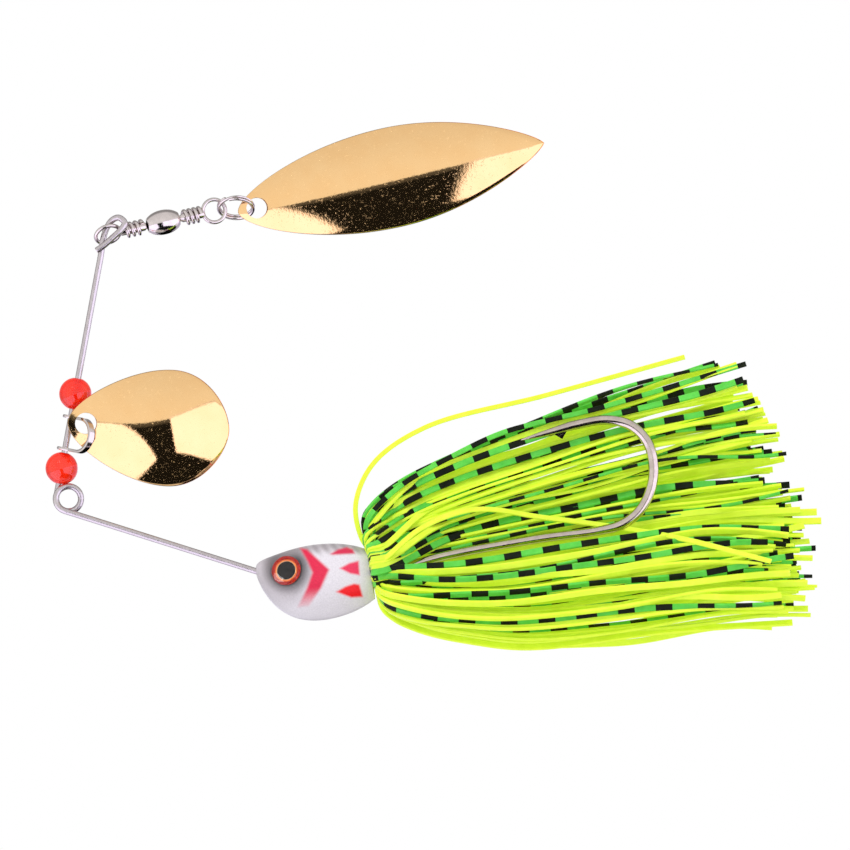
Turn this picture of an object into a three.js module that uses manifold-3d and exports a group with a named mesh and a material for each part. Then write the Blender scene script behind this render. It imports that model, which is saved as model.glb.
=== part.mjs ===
// A spinnerbait: a bent wire arm with a weighted head, hook and silicone skirt on one end,
// and two spinning blades on the other. Millimetres, +Z up, +X toward the tail of the lure,
// origin at the centre of the line-tie coil.
import * as THREE from 'three';
import { ParametricGeometry } from 'three/addons/geometries/ParametricGeometry.js';
import { mergeVertices } from 'three/addons/utils/BufferGeometryUtils.js';
import Module from 'manifold-3d';

const wasm = await Module();
wasm.setup();

// Driving dimensions
const WIRE_RADIUS = 0.5;
const CAST_GAP = 0.33;                // room between the cast lead and what is cast into it
const COIL_RADIUS = 2.0;
const COIL_PITCH = 1.16;
const LOWER_ARM_SLOPE = 17.5;         // degrees below +X
const UPPER_ARM_LEAN = 10.44;         // degrees from +Z toward +X
const UPPER_ARM_LENGTH = 39.3;
const BEAD_RADIUS = 2.6;
const BEAD_BORE = 0.72;
const LOWER_BEAD_REACH = 4.6;         // distances along the upper arm from the coil
const CLEVIS_REACH = 10.32;
const UPPER_BEAD_REACH = 16.7;
const CLEVIS_TURN = -48.6;            // degrees about the upper arm
const CLEVIS_PAD_HEIGHT = 2.6;        // half the distance between the two pads
const CLEVIS_BOW_CENTRE = 3.26;       // distance of the bow's centre from the arm
const CLEVIS_PAD_RADIUS = 1.35;
const CLEVIS_PAD_EDGE = 0.3;          // how far the strap runs past the arm into each pad
const STRAP_THICKNESS = 0.5;
const STRAP_WIDTH = 1.1;
const BLADE_THICKNESS = 0.5;
const SWIVEL_SLOPE = 12.6;            // degrees that the swivel rises toward the tail
const SWIVEL_YAW = 12;                // degrees that it turns away to the far side
const EYE_RING_RADIUS = 2.0;          // swivel ring that hangs in the wire eye
const EYE_RING_TURN = 48;
const LINK_WIRE_RADIUS = 0.32;
const OUTER_RING_RADIUS = 1.83;
const OUTER_RING_REACH = 17.7;
const BARREL_REACH = 9.2;
const BARREL_HALF_LENGTH = 2.6;
const BARREL_RADIUS = 2.0;
const BARREL_CURVE = 3.1;             // half the length of the egg that the barrel is cut from
const BARREL_BORE = 0.85;
const STEM_RADIUS = 0.5;
const KNOB_RADIUS = 1.05;             // head of a swivel stem, inside the barrel
const KNOB_HALF_LENGTH = 0.4;
const KNOB_REACH = 0.9;               // distance of each head from the barrel's middle
const SPLIT_RING_RADIUS = 2.75;
const SPLIT_RING_TURN = 57;
const SPLIT_RING_HALF_DEPTH = 0.45;
const SPLIT_RING_HALF_WALL = 0.32;
const HEAD_LENGTH = 17.8;
const HEAD_HALF_HEIGHT = 6.0;
const HEAD_HALF_WIDTH = 4.9;
const HEAD_WIDEST = 9.5;              // distance of the tallest section from the nose
const HEAD_TAPER = 11.3;              // how slowly the head narrows behind that section
const HEAD_DROP = 3.3;                // how far the middle of the head lies below the nose
const HEAD_DROP_REACH = 2.6;
const SHANK_SLOPE = 9.7;
const SHANK_DROP = 3.02;
const HOOK_RADIUS = 0.75;
const HOOK_EYE_REACH = 9.0;
const HOOK_EYE_RADIUS = 1.55;
const HOOK_EYE_WIRE = 0.6;
const COLLAR_RADIUS = 2.6;
const COLLAR_LENGTH = 5.6;
const BAND_REACH = 20.5;
const BAND_RADIUS = 3.65;
const BAND_HALF_LENGTH = 0.9;
const BAND_HALF_WALL = 0.7;
const EYE_RADIUS = 2.4;
const EYE_REACH = 4.85;               // distance of the eye from the nose
const EYE_HEIGHT = -0.35;
const EYE_FACING = [-0.24, 1, 0.36];  // the way the left flank faces there
const TUFT_SIDES = 8;
const TUFT_STATIONS = 10;
const SKIRT_DEPTH = 10.5;             // greatest distance of the skirt from its middle plane
const FLARE_END = 0.1;                // share of the strands' length over which the skirt opens
const HOOK_LANE = 1.35;               // free half-width kept for the hook in that plane

const radians = THREE.MathUtils.degToRad;
const point = (x, y, z) => new THREE.Vector3(x, y, z);
const finish = (color, roughness, metalness) =>
  new THREE.MeshStandardMaterial({ color, roughness, metalness });

const STEEL = finish(0x9fa3a6, 0.35, 1.0);
const NICKEL = finish(0xcfc9bd, 0.22, 1.0);
const GOLD = finish(0xe0b456, 0.15, 1.0);
const RED_GLASS = finish(0xd93a16, 0.1, 0.0);
const HEAD_PAINT = finish(0xe9e6ea, 0.25, 0.0);
const EYE_PRINT = finish(0xd8421c, 0.4, 0.0);
const EYE_LENS = finish(0x201010, 0.08, 0.0);
const BAND_RUBBER = finish(0x2a2a2a, 0.7, 0.0);
const CHARTREUSE = finish(0xcff02a, 0.45, 0.0);
const GREEN = finish(0x3fdc4c, 0.45, 0.0);

function part(name, geometry, material) {
  const mesh = new THREE.Mesh(geometry, material);
  mesh.name = name;
  return mesh;
}

function group(...children) {
  const made = new THREE.Group();
  children.forEach((child) => made.add(child));
  return made;
}

// Booleans: three.js geometry in, three.js geometry out.
function solid(geometry) {
  const bare = geometry.clone();
  bare.deleteAttribute('normal');
  bare.deleteAttribute('uv');
  const merged = mergeVertices(bare, 1e-4);
  return new wasm.Manifold(new wasm.Mesh({
    numProp: 3,
    vertProperties: new Float32Array(merged.attributes.position.array),
    triVerts: new Uint32Array(merged.index.array),
  }));
}

function geometryOf(manifold) {
  const mesh = manifold.getMesh();
  const geometry = new THREE.BufferGeometry();
  geometry.setAttribute('position', new THREE.BufferAttribute(mesh.vertProperties, 3));
  geometry.setIndex(new THREE.BufferAttribute(mesh.triVerts, 1));
  geometry.computeVertexNormals();
  return geometry;
}

// A closed rod of round section along a curve.
function rod(curve, radius, steps, sides = 8) {
  const corners = [];
  for (let i = 0; i < sides; i += 1) {
    const angle = (2 * Math.PI * i) / sides;
    corners.push(new THREE.Vector2(radius * Math.cos(angle), radius * Math.sin(angle)));
  }
  return new THREE.ExtrudeGeometry(new THREE.Shape(corners), { steps, extrudePath: curve });
}

// A body turned about the X axis, from (distance along X, radius) pairs.
function turned(profile, segments) {
  const points = profile.map(([along, radius]) => new THREE.Vector2(radius, along));
  const lathe = new THREE.LatheGeometry(points, segments);
  return lathe.rotateZ(-Math.PI / 2);
}

// A ring whose plane holds the X axis and is turned about it.
function linkRing(radius, wire, turn, segments = 26) {
  return new THREE.TorusGeometry(radius, wire, 8, segments).rotateX(Math.PI / 2 + radians(turn));
}

// ---- Wire arm -------------------------------------------------------------------------------

const lowerArmDirection = point(
  Math.cos(radians(LOWER_ARM_SLOPE)), 0, -Math.sin(radians(LOWER_ARM_SLOPE)));
const upperArmDirection = point(
  Math.sin(radians(UPPER_ARM_LEAN)), 0, Math.cos(radians(UPPER_ARM_LEAN)));
const coilStart = 270 - LOWER_ARM_SLOPE;
const coilEnd = -180 - UPPER_ARM_LEAN;

function onCoil(angle) {
  const progress = (coilStart - angle) / 360;
  return point(COIL_RADIUS * Math.cos(radians(angle)), COIL_PITCH * progress,
    COIL_RADIUS * Math.sin(radians(angle)));
}

const coilExit = onCoil(coilEnd);
const onUpperArm = (reach) => coilExit.clone().addScaledVector(upperArmDirection, reach);
const onLowerArm = (reach) => onCoil(coilStart).addScaledVector(lowerArmDirection, reach);

// The wire's hooked end inside the head, which passes through the eye of the fish hook.
const wireTail = [
  point(39.4, 2.0, -13.3), point(39.4, 0.6, -13.3), point(39.25, -0.9, -13.3),
  point(38.2, -1.85, -13.2), point(36.4, -1.7, -13.0), point(34.4, -0.7, -12.72),
  point(32.4, -0.1, -12.3),
];

// The open teardrop eye at the top, whose cut end crosses in front of the arm.
const eyeBend = [
  [0.26, 0, 2.0], [0.84, 0, 4.1], [1.75, -0.25, 5.5], [2.85, -0.65, 5.95], [3.85, -0.95, 5.1],
  [3.2, -1.1, 3.95], [2.1, -1.16, 2.9], [0.45, -1.16, 1.45], [-0.7, -1.16, 0.65],
];

function wirePath() {
  const points = [...wireTail];
  for (const reach of [32.0, 24.0, 14.0, 5.0, 1.6, 0.8]) {
    points.push(onLowerArm(reach));
  }
  const turns = 30;
  for (let i = 0; i <= turns; i += 1) {
    points.push(onCoil(coilStart + ((coilEnd - coilStart) * i) / turns));
  }
  for (const reach of [0.8, 1.6, 8.0, 18.0, 28.0, 36.0, UPPER_ARM_LENGTH]) {
    points.push(onUpperArm(reach));
  }
  const top = onUpperArm(UPPER_ARM_LENGTH);
  for (const [x, y, z] of eyeBend) {
    points.push(top.clone().add(point(x, y, z)));
  }
  return new THREE.CatmullRomCurve3(points, false, 'centripetal');
}

function wireFrame() {
  return part('wire_frame', rod(wirePath(), WIRE_RADIUS, 140), STEEL);
}

// ---- Head, hook and eyes, in a frame along the hook shank with the nose at its origin --------

const NOSE = point(30.0, 0, -11.8);

function headFrame(...children) {
  const frame = group(...children);
  frame.position.copy(NOSE);
  frame.rotation.y = -radians(SHANK_SLOPE);
  frame.updateMatrixWorld(true);
  return frame;
}

const toHeadFrame = headFrame().matrixWorld.clone().invert();

function headSection(along) {
  const reach = along - HEAD_WIDEST;
  const scale = along < HEAD_WIDEST ? HEAD_WIDEST : HEAD_TAPER;
  const size = Math.sqrt(Math.max(0, 1 - (reach / scale) ** 2));
  const middle = -HEAD_DROP * (1 - Math.exp(-along / HEAD_DROP_REACH));
  return { middle, halfHeight: HEAD_HALF_HEIGHT * size, halfWidth: HEAD_HALF_WIDTH * size };
}

// Stretches a unit cylinder along X into the head: x runs from the nose to the flat back.
function headBlank() {
  const profile = [[0, 0]];
  const stations = 13;
  const crowding = 1.6;               // the stations stand closer together toward the nose
  for (let i = 1; i <= stations; i += 1) {
    profile.push([HEAD_LENGTH * (i / stations) ** crowding, 1]);
  }
  profile.push([HEAD_LENGTH, 0]);
  const geometry = turned(profile, 28);
  const spots = geometry.attributes.position;
  for (let i = 0; i < spots.count; i += 1) {
    const section = headSection(spots.getX(i));
    spots.setY(i, spots.getY(i) * section.halfWidth);
    spots.setZ(i, section.middle + spots.getZ(i) * section.halfHeight);
  }
  return geometry;
}

function collar() {
  const end = HEAD_LENGTH + COLLAR_LENGTH;
  const profile = [
    [HEAD_LENGTH - 1.5, 0], [HEAD_LENGTH - 1.5, COLLAR_RADIUS], [end - 1.3, COLLAR_RADIUS],
    [end - 1.0, COLLAR_RADIUS + 0.35], [end, COLLAR_RADIUS - 0.5], [end, 0],
  ];
  return turned(profile, 20).translate(0, 0, -SHANK_DROP);
}

// Where the eye sits on the flank, and the way the flank faces there.
function eyeSeat(side) {
  const section = headSection(EYE_REACH);
  const height = (EYE_HEIGHT - section.middle) / section.halfHeight;
  const depth = section.halfWidth * Math.sqrt(1 - height ** 2);
  const [ahead, out, up] = EYE_FACING;
  const normal = point(ahead, side * out, up).normalize();
  return { spot: point(EYE_REACH, side * depth, EYE_HEIGHT), normal };
}

function eyePiece(geometry, side) {
  const seat = eyeSeat(side);
  const turn = new THREE.Quaternion().setFromUnitVectors(point(0, 1, 0), seat.normal);
  return geometry.applyQuaternion(turn).translate(seat.spot.x, seat.spot.y, seat.spot.z);
}

const SOCKET_DEPTH = 1.15;
const DISC_BOTTOM = -0.85;
const DISC_TOP = -0.45;
const LENS_BOTTOM = -0.15;
const LENS_EDGE = 0.15;
const LENS_HEIGHT = 0.95;

function disc(radius, bottom, top) {
  const geometry = new THREE.CylinderGeometry(radius, radius, top - bottom, 24);
  return geometry.translate(0, (bottom + top) / 2, 0);
}

function lens() {
  const profile = [new THREE.Vector2(0, LENS_BOTTOM), new THREE.Vector2(EYE_RADIUS, LENS_BOTTOM)];
  const dome = LENS_BOTTOM + LENS_EDGE;
  const rings = 6;
  for (let i = 0; i < rings; i += 1) {
    const angle = (Math.PI / 2) * (i / rings);
    profile.push(new THREE.Vector2(
      EYE_RADIUS * Math.cos(angle), dome + LENS_HEIGHT * Math.sin(angle)));
  }
  profile.push(new THREE.Vector2(0, dome + LENS_HEIGHT));
  return new THREE.LatheGeometry(profile, 24);
}

const onShank = (along) => point(along, 0, -SHANK_DROP);

// Shank, round bend and spear of the hook, its tip and its barb, as (x, z) in the lure's own axes.
const HOOK_TRACK = [
  [60.6, -9.05], [75.2, -6.4], [84.9, -5.1], [88.7, -4.1], [91.6, -1.9], [93.5, 1.6],
  [94.0, 5.5], [93.0, 9.1], [90.3, 11.7], [86.2, 12.6], [81.0, 11.8],
];
const HOOK_TIP = [72.3, 9.4];
const BARB_OUTLINE = [[76.6, 10.7], [78.9, 9.6], [79.9, 11.1]];
const BARB_THICKNESS = 0.6;

function hookPath() {
  const points = [onShank(HOOK_EYE_REACH + HOOK_EYE_RADIUS), onShank(16), onShank(24)];
  for (const [x, z] of HOOK_TRACK) {
    points.push(point(x, 0, z).applyMatrix4(toHeadFrame));
  }
  return new THREE.CatmullRomCurve3(points, false, 'centripetal');
}

function hookPoint() {
  const [rootX, rootZ] = HOOK_TRACK[HOOK_TRACK.length - 1];
  const root = point(rootX, 0, rootZ).applyMatrix4(toHeadFrame);
  const tip = point(HOOK_TIP[0], 0, HOOK_TIP[1]).applyMatrix4(toHeadFrame);
  const way = tip.clone().sub(root);
  const length = way.length();
  const profile = [
    [-0.1, 0], [-0.1, 0.62], [0.1, HOOK_RADIUS * 0.97], [length * 0.45, 0.52], [length, 0],
  ];
  const turn = new THREE.Quaternion().setFromUnitVectors(point(1, 0, 0), way.normalize());
  return turned(profile, 10).applyQuaternion(turn).translate(root.x, root.y, root.z);
}

// A flat splinter raised from the inner side of the spear, leaning away from the tip.
function hookBarb() {
  const outline = new THREE.Shape(BARB_OUTLINE.map(([x, z]) => {
    const spot = point(x, 0, z).applyMatrix4(toHeadFrame);
    return new THREE.Vector2(spot.x, spot.z);
  }));
  const slab = new THREE.ExtrudeGeometry(outline, { depth: BARB_THICKNESS, bevelEnabled: false });
  return slab.rotateX(Math.PI / 2).translate(0, BARB_THICKNESS / 2, 0);
}

function hookEye(wire) {
  const ring = new THREE.TorusGeometry(HOOK_EYE_RADIUS, wire, 8, 22).rotateX(Math.PI / 2);
  return ring.translate(HOOK_EYE_REACH, 0, -SHANK_DROP);
}

function hook() {
  const body = solid(rod(hookPath(), HOOK_RADIUS, 46, 8))
    .add(solid(hookEye(HOOK_EYE_WIRE)))
    .add(solid(hookPoint()))
    .add(solid(hookBarb()));
  return part('hook', geometryOf(body), NICKEL);
}

function head() {
  const channelEnd = HEAD_LENGTH + COLLAR_LENGTH + 2;
  const shankLine = new THREE.LineCurve3(onShank(HOOK_EYE_REACH + 1), onShank(channelEnd));
  const shankChannel = rod(shankLine, HOOK_RADIUS + CAST_GAP, 1, 12);
  const tail = [...wireTail, onLowerArm(32.0), onLowerArm(27.0)];
  tail[0] = tail[0].clone().add(point(0, CAST_GAP, 0));
  const wireChannel = rod(
    new THREE.CatmullRomCurve3(tail, false, 'centripetal'), WIRE_RADIUS + CAST_GAP, 30, 10);
  wireChannel.applyMatrix4(toHeadFrame);
  const pocketHalf = HOOK_EYE_WIRE + CAST_GAP + 0.12;
  const eyePocket = disc(HOOK_EYE_RADIUS + HOOK_EYE_WIRE + CAST_GAP, -pocketHalf, pocketHalf);
  eyePocket.translate(HOOK_EYE_REACH, 0, -SHANK_DROP);
  let body = solid(headBlank())
    .add(solid(collar()))
    .subtract(solid(shankChannel))
    .subtract(solid(wireChannel))
    .subtract(solid(eyePocket));
  for (const side of [-1, 1]) {
    const socket = eyePiece(disc(EYE_RADIUS + CAST_GAP, -SOCKET_DEPTH, 2.5), side);
    body = body.subtract(solid(socket));
  }
  return part('head', geometryOf(body), HEAD_PAINT);
}

function eyes() {
  const pieces = [];
  for (const [name, side] of [['left', 1], ['right', -1]]) {
    const print = disc(EYE_RADIUS, DISC_BOTTOM, DISC_TOP);
    pieces.push(part(`eye_disc_${name}`, eyePiece(print, side), EYE_PRINT));
    pieces.push(part(`eye_lens_${name}`, eyePiece(lens(), side), EYE_LENS));
  }
  return pieces;
}

function skirtBand() {
  const profile = [];
  const corners = 8;
  for (let i = 0; i <= corners; i += 1) {
    const angle = (2 * Math.PI * (i % corners)) / corners;
    profile.push([
      BAND_REACH - BAND_HALF_LENGTH * Math.cos(angle), BAND_RADIUS + BAND_HALF_WALL * Math.sin(angle),
    ]);
  }
  return part('skirt_band', turned(profile, 24).translate(0, 0, -SHANK_DROP), BAND_RUBBER);
}

// ---- Skirt: tufts of strands that share one fan ----------------------------------------------

const fanCurve = (points) =>
  new THREE.CatmullRomCurve3(points.map(([x, z]) => point(x, 0, z)), false, 'centripetal');

const fanTop = fanCurve([
  [48.45, -7.95], [48.0, -6.3], [46.9, -4.2], [48.4, -1.1], [52.7, 2.6], [59.4, 6.1], [71.2, 10.8],
  [87.0, 16.3], [105.8, 22.0],
]);
const fanMiddle = fanCurve([
  [49.1, -11.65], [60.0, -10.5], [80.0, -7.5], [100.0, -4.5], [120.6, -3.0],
]);
const fanBottom = fanCurve([
  [49.72, -15.35], [49.8, -17.0], [51.6, -19.2], [56.7, -21.7], [64.7, -23.6], [72.5, -24.6],
  [87.2, -23.6], [107.0, -21.4], [117.5, -21.0],
]);

const COLLAR_DEPTH = 3.75;            // half the fan's depth where the strands leave the collar

// A point of the fan: s runs along the strands, spread from the middle outward, and angle from
// the top (0) through the near side (90) and the bottom (180) to the far side (270).
function onFan(s, spread, angle) {
  const turn = radians(angle);
  const lift = Math.cos(turn);
  const middle = fanMiddle.getPointAt(s);
  const top = fanTop.getPointAt(s);
  const bottom = fanBottom.getPointAt(s);
  const edge = lift > 0 ? top : bottom;
  const side = Math.sin(turn);
  const start = Math.min(1, s / FLARE_END);
  const ease = start * start * (3 - 2 * start);
  const depth = COLLAR_DEPTH + (SKIRT_DEPTH - COLLAR_DEPTH - HOOK_LANE) * ease;
  const edgeX = lift * lift * edge.x + side * side * 0.5 * (top.x + bottom.x);
  return point(
    middle.x + spread * (edgeX - middle.x),
    -Math.sign(side) * (HOOK_LANE * ease + spread * Math.abs(side) * depth),
    middle.z + spread * Math.abs(lift) * (edge.z - middle.z),
  );
}

// A closed bundle that fills a cell of the fan, from the share `from` of its length to the tips.
// It is slimmer near the collar, where the strands are gathered.
function tuft(name, spread, angle, spreadHalf, angleHalf, from, material) {
  const geometry = new THREE.CylinderGeometry(1, 1, 1, TUFT_SIDES, TUFT_STATIONS);
  const spots = geometry.attributes.position;
  for (let i = 0; i < spots.count; i += 1) {
    const along = spots.getY(i) + 0.5;
    const s = from + (1 - from) * along ** 1.5;
    const swell = Math.min(1, 0.28 + s / 0.3);
    const out = spread + spreadHalf * swell * spots.getX(i);
    const place = onFan(s, out, angle - angleHalf * spots.getZ(i));
    spots.setXYZ(i, place.x, place.y, place.z);
  }
  return part(name, geometry, material);
}

const OUTER_TUFTS = 16;
const OPEN_FROM = 30;                 // the near side is left open around the hook
const OPEN_TO = 110;
const OUTER_CELL = { spread: 0.78, half: 0.18 };
const TOP_CELL = { spread: 0.86, half: 0.12 };
const INNER_TUFTS = 4;                // behind the hook, on the far side
const INNER_CELL = { spread: 0.36, half: 0.16, angleHalf: 14, from: 0.14 };
const INNER_FROM = 202;
const INNER_SWEEP = 136;

function skirt() {
  const tufts = [];
  const step = 360 / OUTER_TUFTS;
  for (let i = 0; i < OUTER_TUFTS; i += 1) {
    const angle = (i + 0.5) * step;
    const open = angle > OPEN_FROM && angle < OPEN_TO;
    if (!open) {
      const number = String(tufts.length + 1).padStart(2, '0');
      const cell = angle < OPEN_FROM ? TOP_CELL : OUTER_CELL;
      const material = tufts.length % 2 === 0 ? CHARTREUSE : GREEN;
      tufts.push(tuft(
        `skirt_tuft_${number}`, cell.spread, angle, cell.half, step * 0.42, 0, material));
    }
  }
  for (let i = 0; i < INNER_TUFTS; i += 1) {
    const angle = INNER_FROM + (i + 0.5) * (INNER_SWEEP / INNER_TUFTS);
    const number = String(tufts.length + 1).padStart(2, '0');
    const { spread, half, angleHalf, from } = INNER_CELL;
    const material = i % 2 === 0 ? GREEN : CHARTREUSE;
    tufts.push(tuft(`skirt_tuft_${number}`, spread, angle, half, angleHalf, from, material));
  }
  return tufts;
}

// ---- Beads, clevis and blades ------------------------------------------------------------------

function bead(name) {
  const profile = [];
  const bore = Math.acos(BEAD_BORE / BEAD_RADIUS);
  const steps = 9;
  for (let i = 0; i <= steps; i += 1) {
    const angle = -bore + (2 * bore * i) / steps;
    profile.push([BEAD_RADIUS * Math.sin(angle), BEAD_RADIUS * Math.cos(angle)]);
  }
  profile.push(profile[0]);
  return part(name, turned(profile, 18), RED_GLASS);
}

// Holds pieces that ride on the upper arm, with local X along the arm.
function onArm(reach, ...children) {
  const holder = group(...children);
  holder.position.copy(onUpperArm(reach));
  holder.rotation.y = radians(UPPER_ARM_LEAN - 90);
  return holder;
}

// A folded strap: two bored pads on the arm and a round bow between them. Local X runs along the
// arm and the bow stands out along -Z before it is turned about the arm.
function clevis() {
  const outer = CLEVIS_PAD_HEIGHT + STRAP_THICKNESS / 2;
  const inner = CLEVIS_PAD_HEIGHT - STRAP_THICKNESS / 2;
  const outline = new THREE.Shape();
  outline.moveTo(-CLEVIS_PAD_EDGE, -outer);
  outline.lineTo(CLEVIS_BOW_CENTRE, -outer);
  outline.absarc(CLEVIS_BOW_CENTRE, 0, outer, -Math.PI / 2, Math.PI / 2, false);
  outline.lineTo(-CLEVIS_PAD_EDGE, outer);
  outline.lineTo(-CLEVIS_PAD_EDGE, inner);
  outline.lineTo(CLEVIS_BOW_CENTRE, inner);
  outline.absarc(CLEVIS_BOW_CENTRE, 0, inner, Math.PI / 2, -Math.PI / 2, true);
  outline.lineTo(-CLEVIS_PAD_EDGE, -inner);
  const strap = new THREE.ExtrudeGeometry(
    outline, { depth: STRAP_WIDTH, bevelEnabled: false, curveSegments: 14 });
  strap.translate(0, 0, -STRAP_WIDTH / 2);
  let body = solid(strap);
  for (const height of [-CLEVIS_PAD_HEIGHT, CLEVIS_PAD_HEIGHT]) {
    const pad = new THREE.CylinderGeometry(
      CLEVIS_PAD_RADIUS, CLEVIS_PAD_RADIUS, STRAP_THICKNESS, 16);
    body = body.add(solid(pad.translate(0, height, 0)));
  }
  body = body.subtract(solid(new THREE.CylinderGeometry(BEAD_BORE, BEAD_BORE, 8, 12)));
  const geometry = geometryOf(body).rotateY(Math.PI / 2).rotateZ(-Math.PI / 2);
  return part('clevis', geometry.rotateX(radians(CLEVIS_TURN)), NICKEL);
}

// A thin domed blade with one hole. The long axis is local X from the pierced end, the width is
// local Y and the dome rises along local Z.
function blade(name, shape) {
  const rings = 5;
  const slices = 2 * (rings + 1);
  const stacks = 36;
  const halfWidth = (x) => {
    const t = Math.min(1, Math.max(0, x / shape.length)) ** shape.skew;
    const power = t < 0.5 ? shape.bluntness : shape.sharpness;
    return shape.halfWidth * Math.sin(Math.PI * t) ** power;
  };
  const dome = (x, y) => {
    const width = Math.max(halfWidth(x), 1e-3);
    const lift = (width / shape.halfWidth) ** shape.fullness;
    return shape.depth * lift * (1 - Math.min(1, (y / width) ** 2));
  };
  const surface = (u, v, target) => {
    const ring = Math.round(u * slices) % slices;
    const turn = -2 * Math.PI * ((Math.round(v * stacks) % stacks) / stacks);
    const upper = ring <= rings;
    const outward = (upper ? ring : slices - 1 - ring) / rings;
    const outlineX = (shape.length * (1 - Math.cos(turn))) / 2;
    const outlineY = Math.sign(Math.sin(turn)) * halfWidth(outlineX);
    const holeX = shape.holeReach - shape.holeRadius * Math.cos(turn);
    const holeY = shape.holeRadius * Math.sin(turn);
    const x = holeX + (outlineX - holeX) * outward;
    const y = holeY + (outlineY - holeY) * outward;
    target.set(x, y, dome(x, y) + (upper ? BLADE_THICKNESS : -BLADE_THICKNESS) / 2);
  };
  return part(name, new ParametricGeometry(surface, slices, stacks), GOLD);
}

// Each blade hangs by its hole: it slopes up toward its tip, leans about its long axis and is
// turned about the vertical, in degrees.
const COLORADO = {
  length: 25.9, halfWidth: 9.35, holeReach: 2.85, holeRadius: 1.7,
  skew: 1.5, bluntness: 0.38, sharpness: 0.55, depth: 2.6, fullness: 2.2,
  hole: [2.8, -1.05, 12.1], slope: -3.4, lean: 5.6, yaw: 7.3,
};
const WILLOW = {
  length: 50.3, halfWidth: 8.05, holeReach: 3.05, holeRadius: 1.65,
  skew: 1.0, bluntness: 0.6, sharpness: 0.75, depth: 1.9, fullness: 1.5,
  hole: [30.0, 5.25, 46.6], slope: 12.8, lean: 0, yaw: 0,
};

function placedBlade(name, shape) {
  const mesh = blade(name, shape);
  mesh.position.set(-shape.holeReach, 0, 0);
  const holder = group(mesh);
  holder.position.set(...shape.hole);
  holder.rotation.set(
    Math.PI / 2 + radians(shape.lean), -radians(shape.slope), radians(shape.yaw), 'ZYX');
  return holder;
}

// ---- Swivel and split ring, along local X from the ring in the wire eye --------------------------

const SPLIT_RING_CENTRE = point(26.65, 5.25, 46.7);
const SWIVEL_ORIGIN = point(6.25, 1.65, 42.3);

const INNER_WRAPS = { from: 2.3, to: 6.05, radius: 1.3 };
const OUTER_WRAPS = { from: 1.95, to: 5.3, radius: 1.35 };

function wraps({ from, to, radius }) {
  const profile = [];
  const turns = 3;
  const groove = 0.3;
  for (let i = 0; i < turns; i += 1) {
    const start = from + ((to - from) * i) / turns;
    const pitch = (to - from) / turns;
    profile.push([start, radius - groove]);
    profile.push([start + pitch * 0.3, radius], [start + pitch * 0.7, radius]);
  }
  profile.push([to, radius - groove]);
  return profile;
}

// An eye with its wire wrapped round a stem, and a head on the stem that turns in the barrel.
function swivelEye(name, ring, wrapping, knob) {
  const knobNear = knob - KNOB_HALF_LENGTH;
  const knobFar = knob + KNOB_HALF_LENGTH;
  const profile = [
    [wrapping.from, 0], ...wraps(wrapping), [wrapping.to, STEM_RADIUS],
    [knobNear, STEM_RADIUS], [knobNear, KNOB_RADIUS], [knobFar, KNOB_RADIUS], [knobFar, 0],
  ];
  const body = solid(turned(profile, 14)).add(solid(ring));
  return part(name, geometryOf(body), NICKEL);
}

function swivelBarrel() {
  const outside = [];
  const rings = 8;
  for (let i = 0; i <= rings; i += 1) {
    const along = BARREL_HALF_LENGTH * ((2 * i) / rings - 1);
    outside.push([along, BARREL_RADIUS * Math.sqrt(1 - (along / BARREL_CURVE) ** 2)]);
  }
  const mouth = [BARREL_HALF_LENGTH, BARREL_BORE];
  const inside = [[1.9, BARREL_BORE], [1.7, 1.35], [-1.7, 1.35], [-1.9, BARREL_BORE]];
  const back = [-BARREL_HALF_LENGTH, BARREL_BORE];
  const geometry = turned([...outside, mouth, ...inside, back, outside[0]], 20);
  geometry.translate(BARREL_REACH, 0, 0);
  return part('swivel_barrel', geometry, NICKEL);
}

function swivelEyes() {
  const innerRing = linkRing(EYE_RING_RADIUS, LINK_WIRE_RADIUS, EYE_RING_TURN);
  const inner = swivelEye('swivel_eye_inner', innerRing, INNER_WRAPS, BARREL_REACH - KNOB_REACH);
  const outerRing = linkRing(OUTER_RING_RADIUS, LINK_WIRE_RADIUS, 0);
  const outerKnob = OUTER_RING_REACH - BARREL_REACH - KNOB_REACH;
  const outer = swivelEye('swivel_eye_outer', outerRing, OUTER_WRAPS, outerKnob);
  outer.geometry.rotateY(Math.PI).translate(OUTER_RING_REACH, 0, 0);
  return [inner, outer];
}

// Two flat turns of spring wire, closed here into one ring.
function splitRing() {
  const profile = [];
  const corners = 8;
  for (let i = 0; i <= corners; i += 1) {
    const angle = (2 * Math.PI * (i % corners) + Math.PI) / corners;
    profile.push([
      SPLIT_RING_HALF_DEPTH * Math.cos(angle),
      SPLIT_RING_RADIUS - SPLIT_RING_HALF_WALL * Math.sin(angle),
    ]);
  }
  const geometry = turned(profile, 28).rotateY(Math.PI / 2);
  geometry.rotateX(Math.PI / 2 + radians(SPLIT_RING_TURN));
  const ring = part('split_ring', geometry, NICKEL);
  ring.position.copy(SPLIT_RING_CENTRE);
  return ring;
}

// ---- The whole lure ------------------------------------------------------------------------------

const swivel = group(swivelBarrel(), ...swivelEyes());
swivel.position.copy(SWIVEL_ORIGIN);
swivel.rotation.set(0, -radians(SWIVEL_SLOPE), radians(SWIVEL_YAW), 'ZYX');

const lure = group(
  wireFrame(),
  headFrame(head(), hook(), skirtBand(), ...eyes()),
  ...skirt(),
  onArm(LOWER_BEAD_REACH, bead('lower_bead')),
  onArm(CLEVIS_REACH, clevis()),
  onArm(UPPER_BEAD_REACH, bead('upper_bead')),
  placedBlade('colorado_blade', COLORADO),
  swivel,
  splitRing(),
  placedBlade('willow_blade', WILLOW),
);

export default lure;
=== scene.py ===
import math

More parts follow.
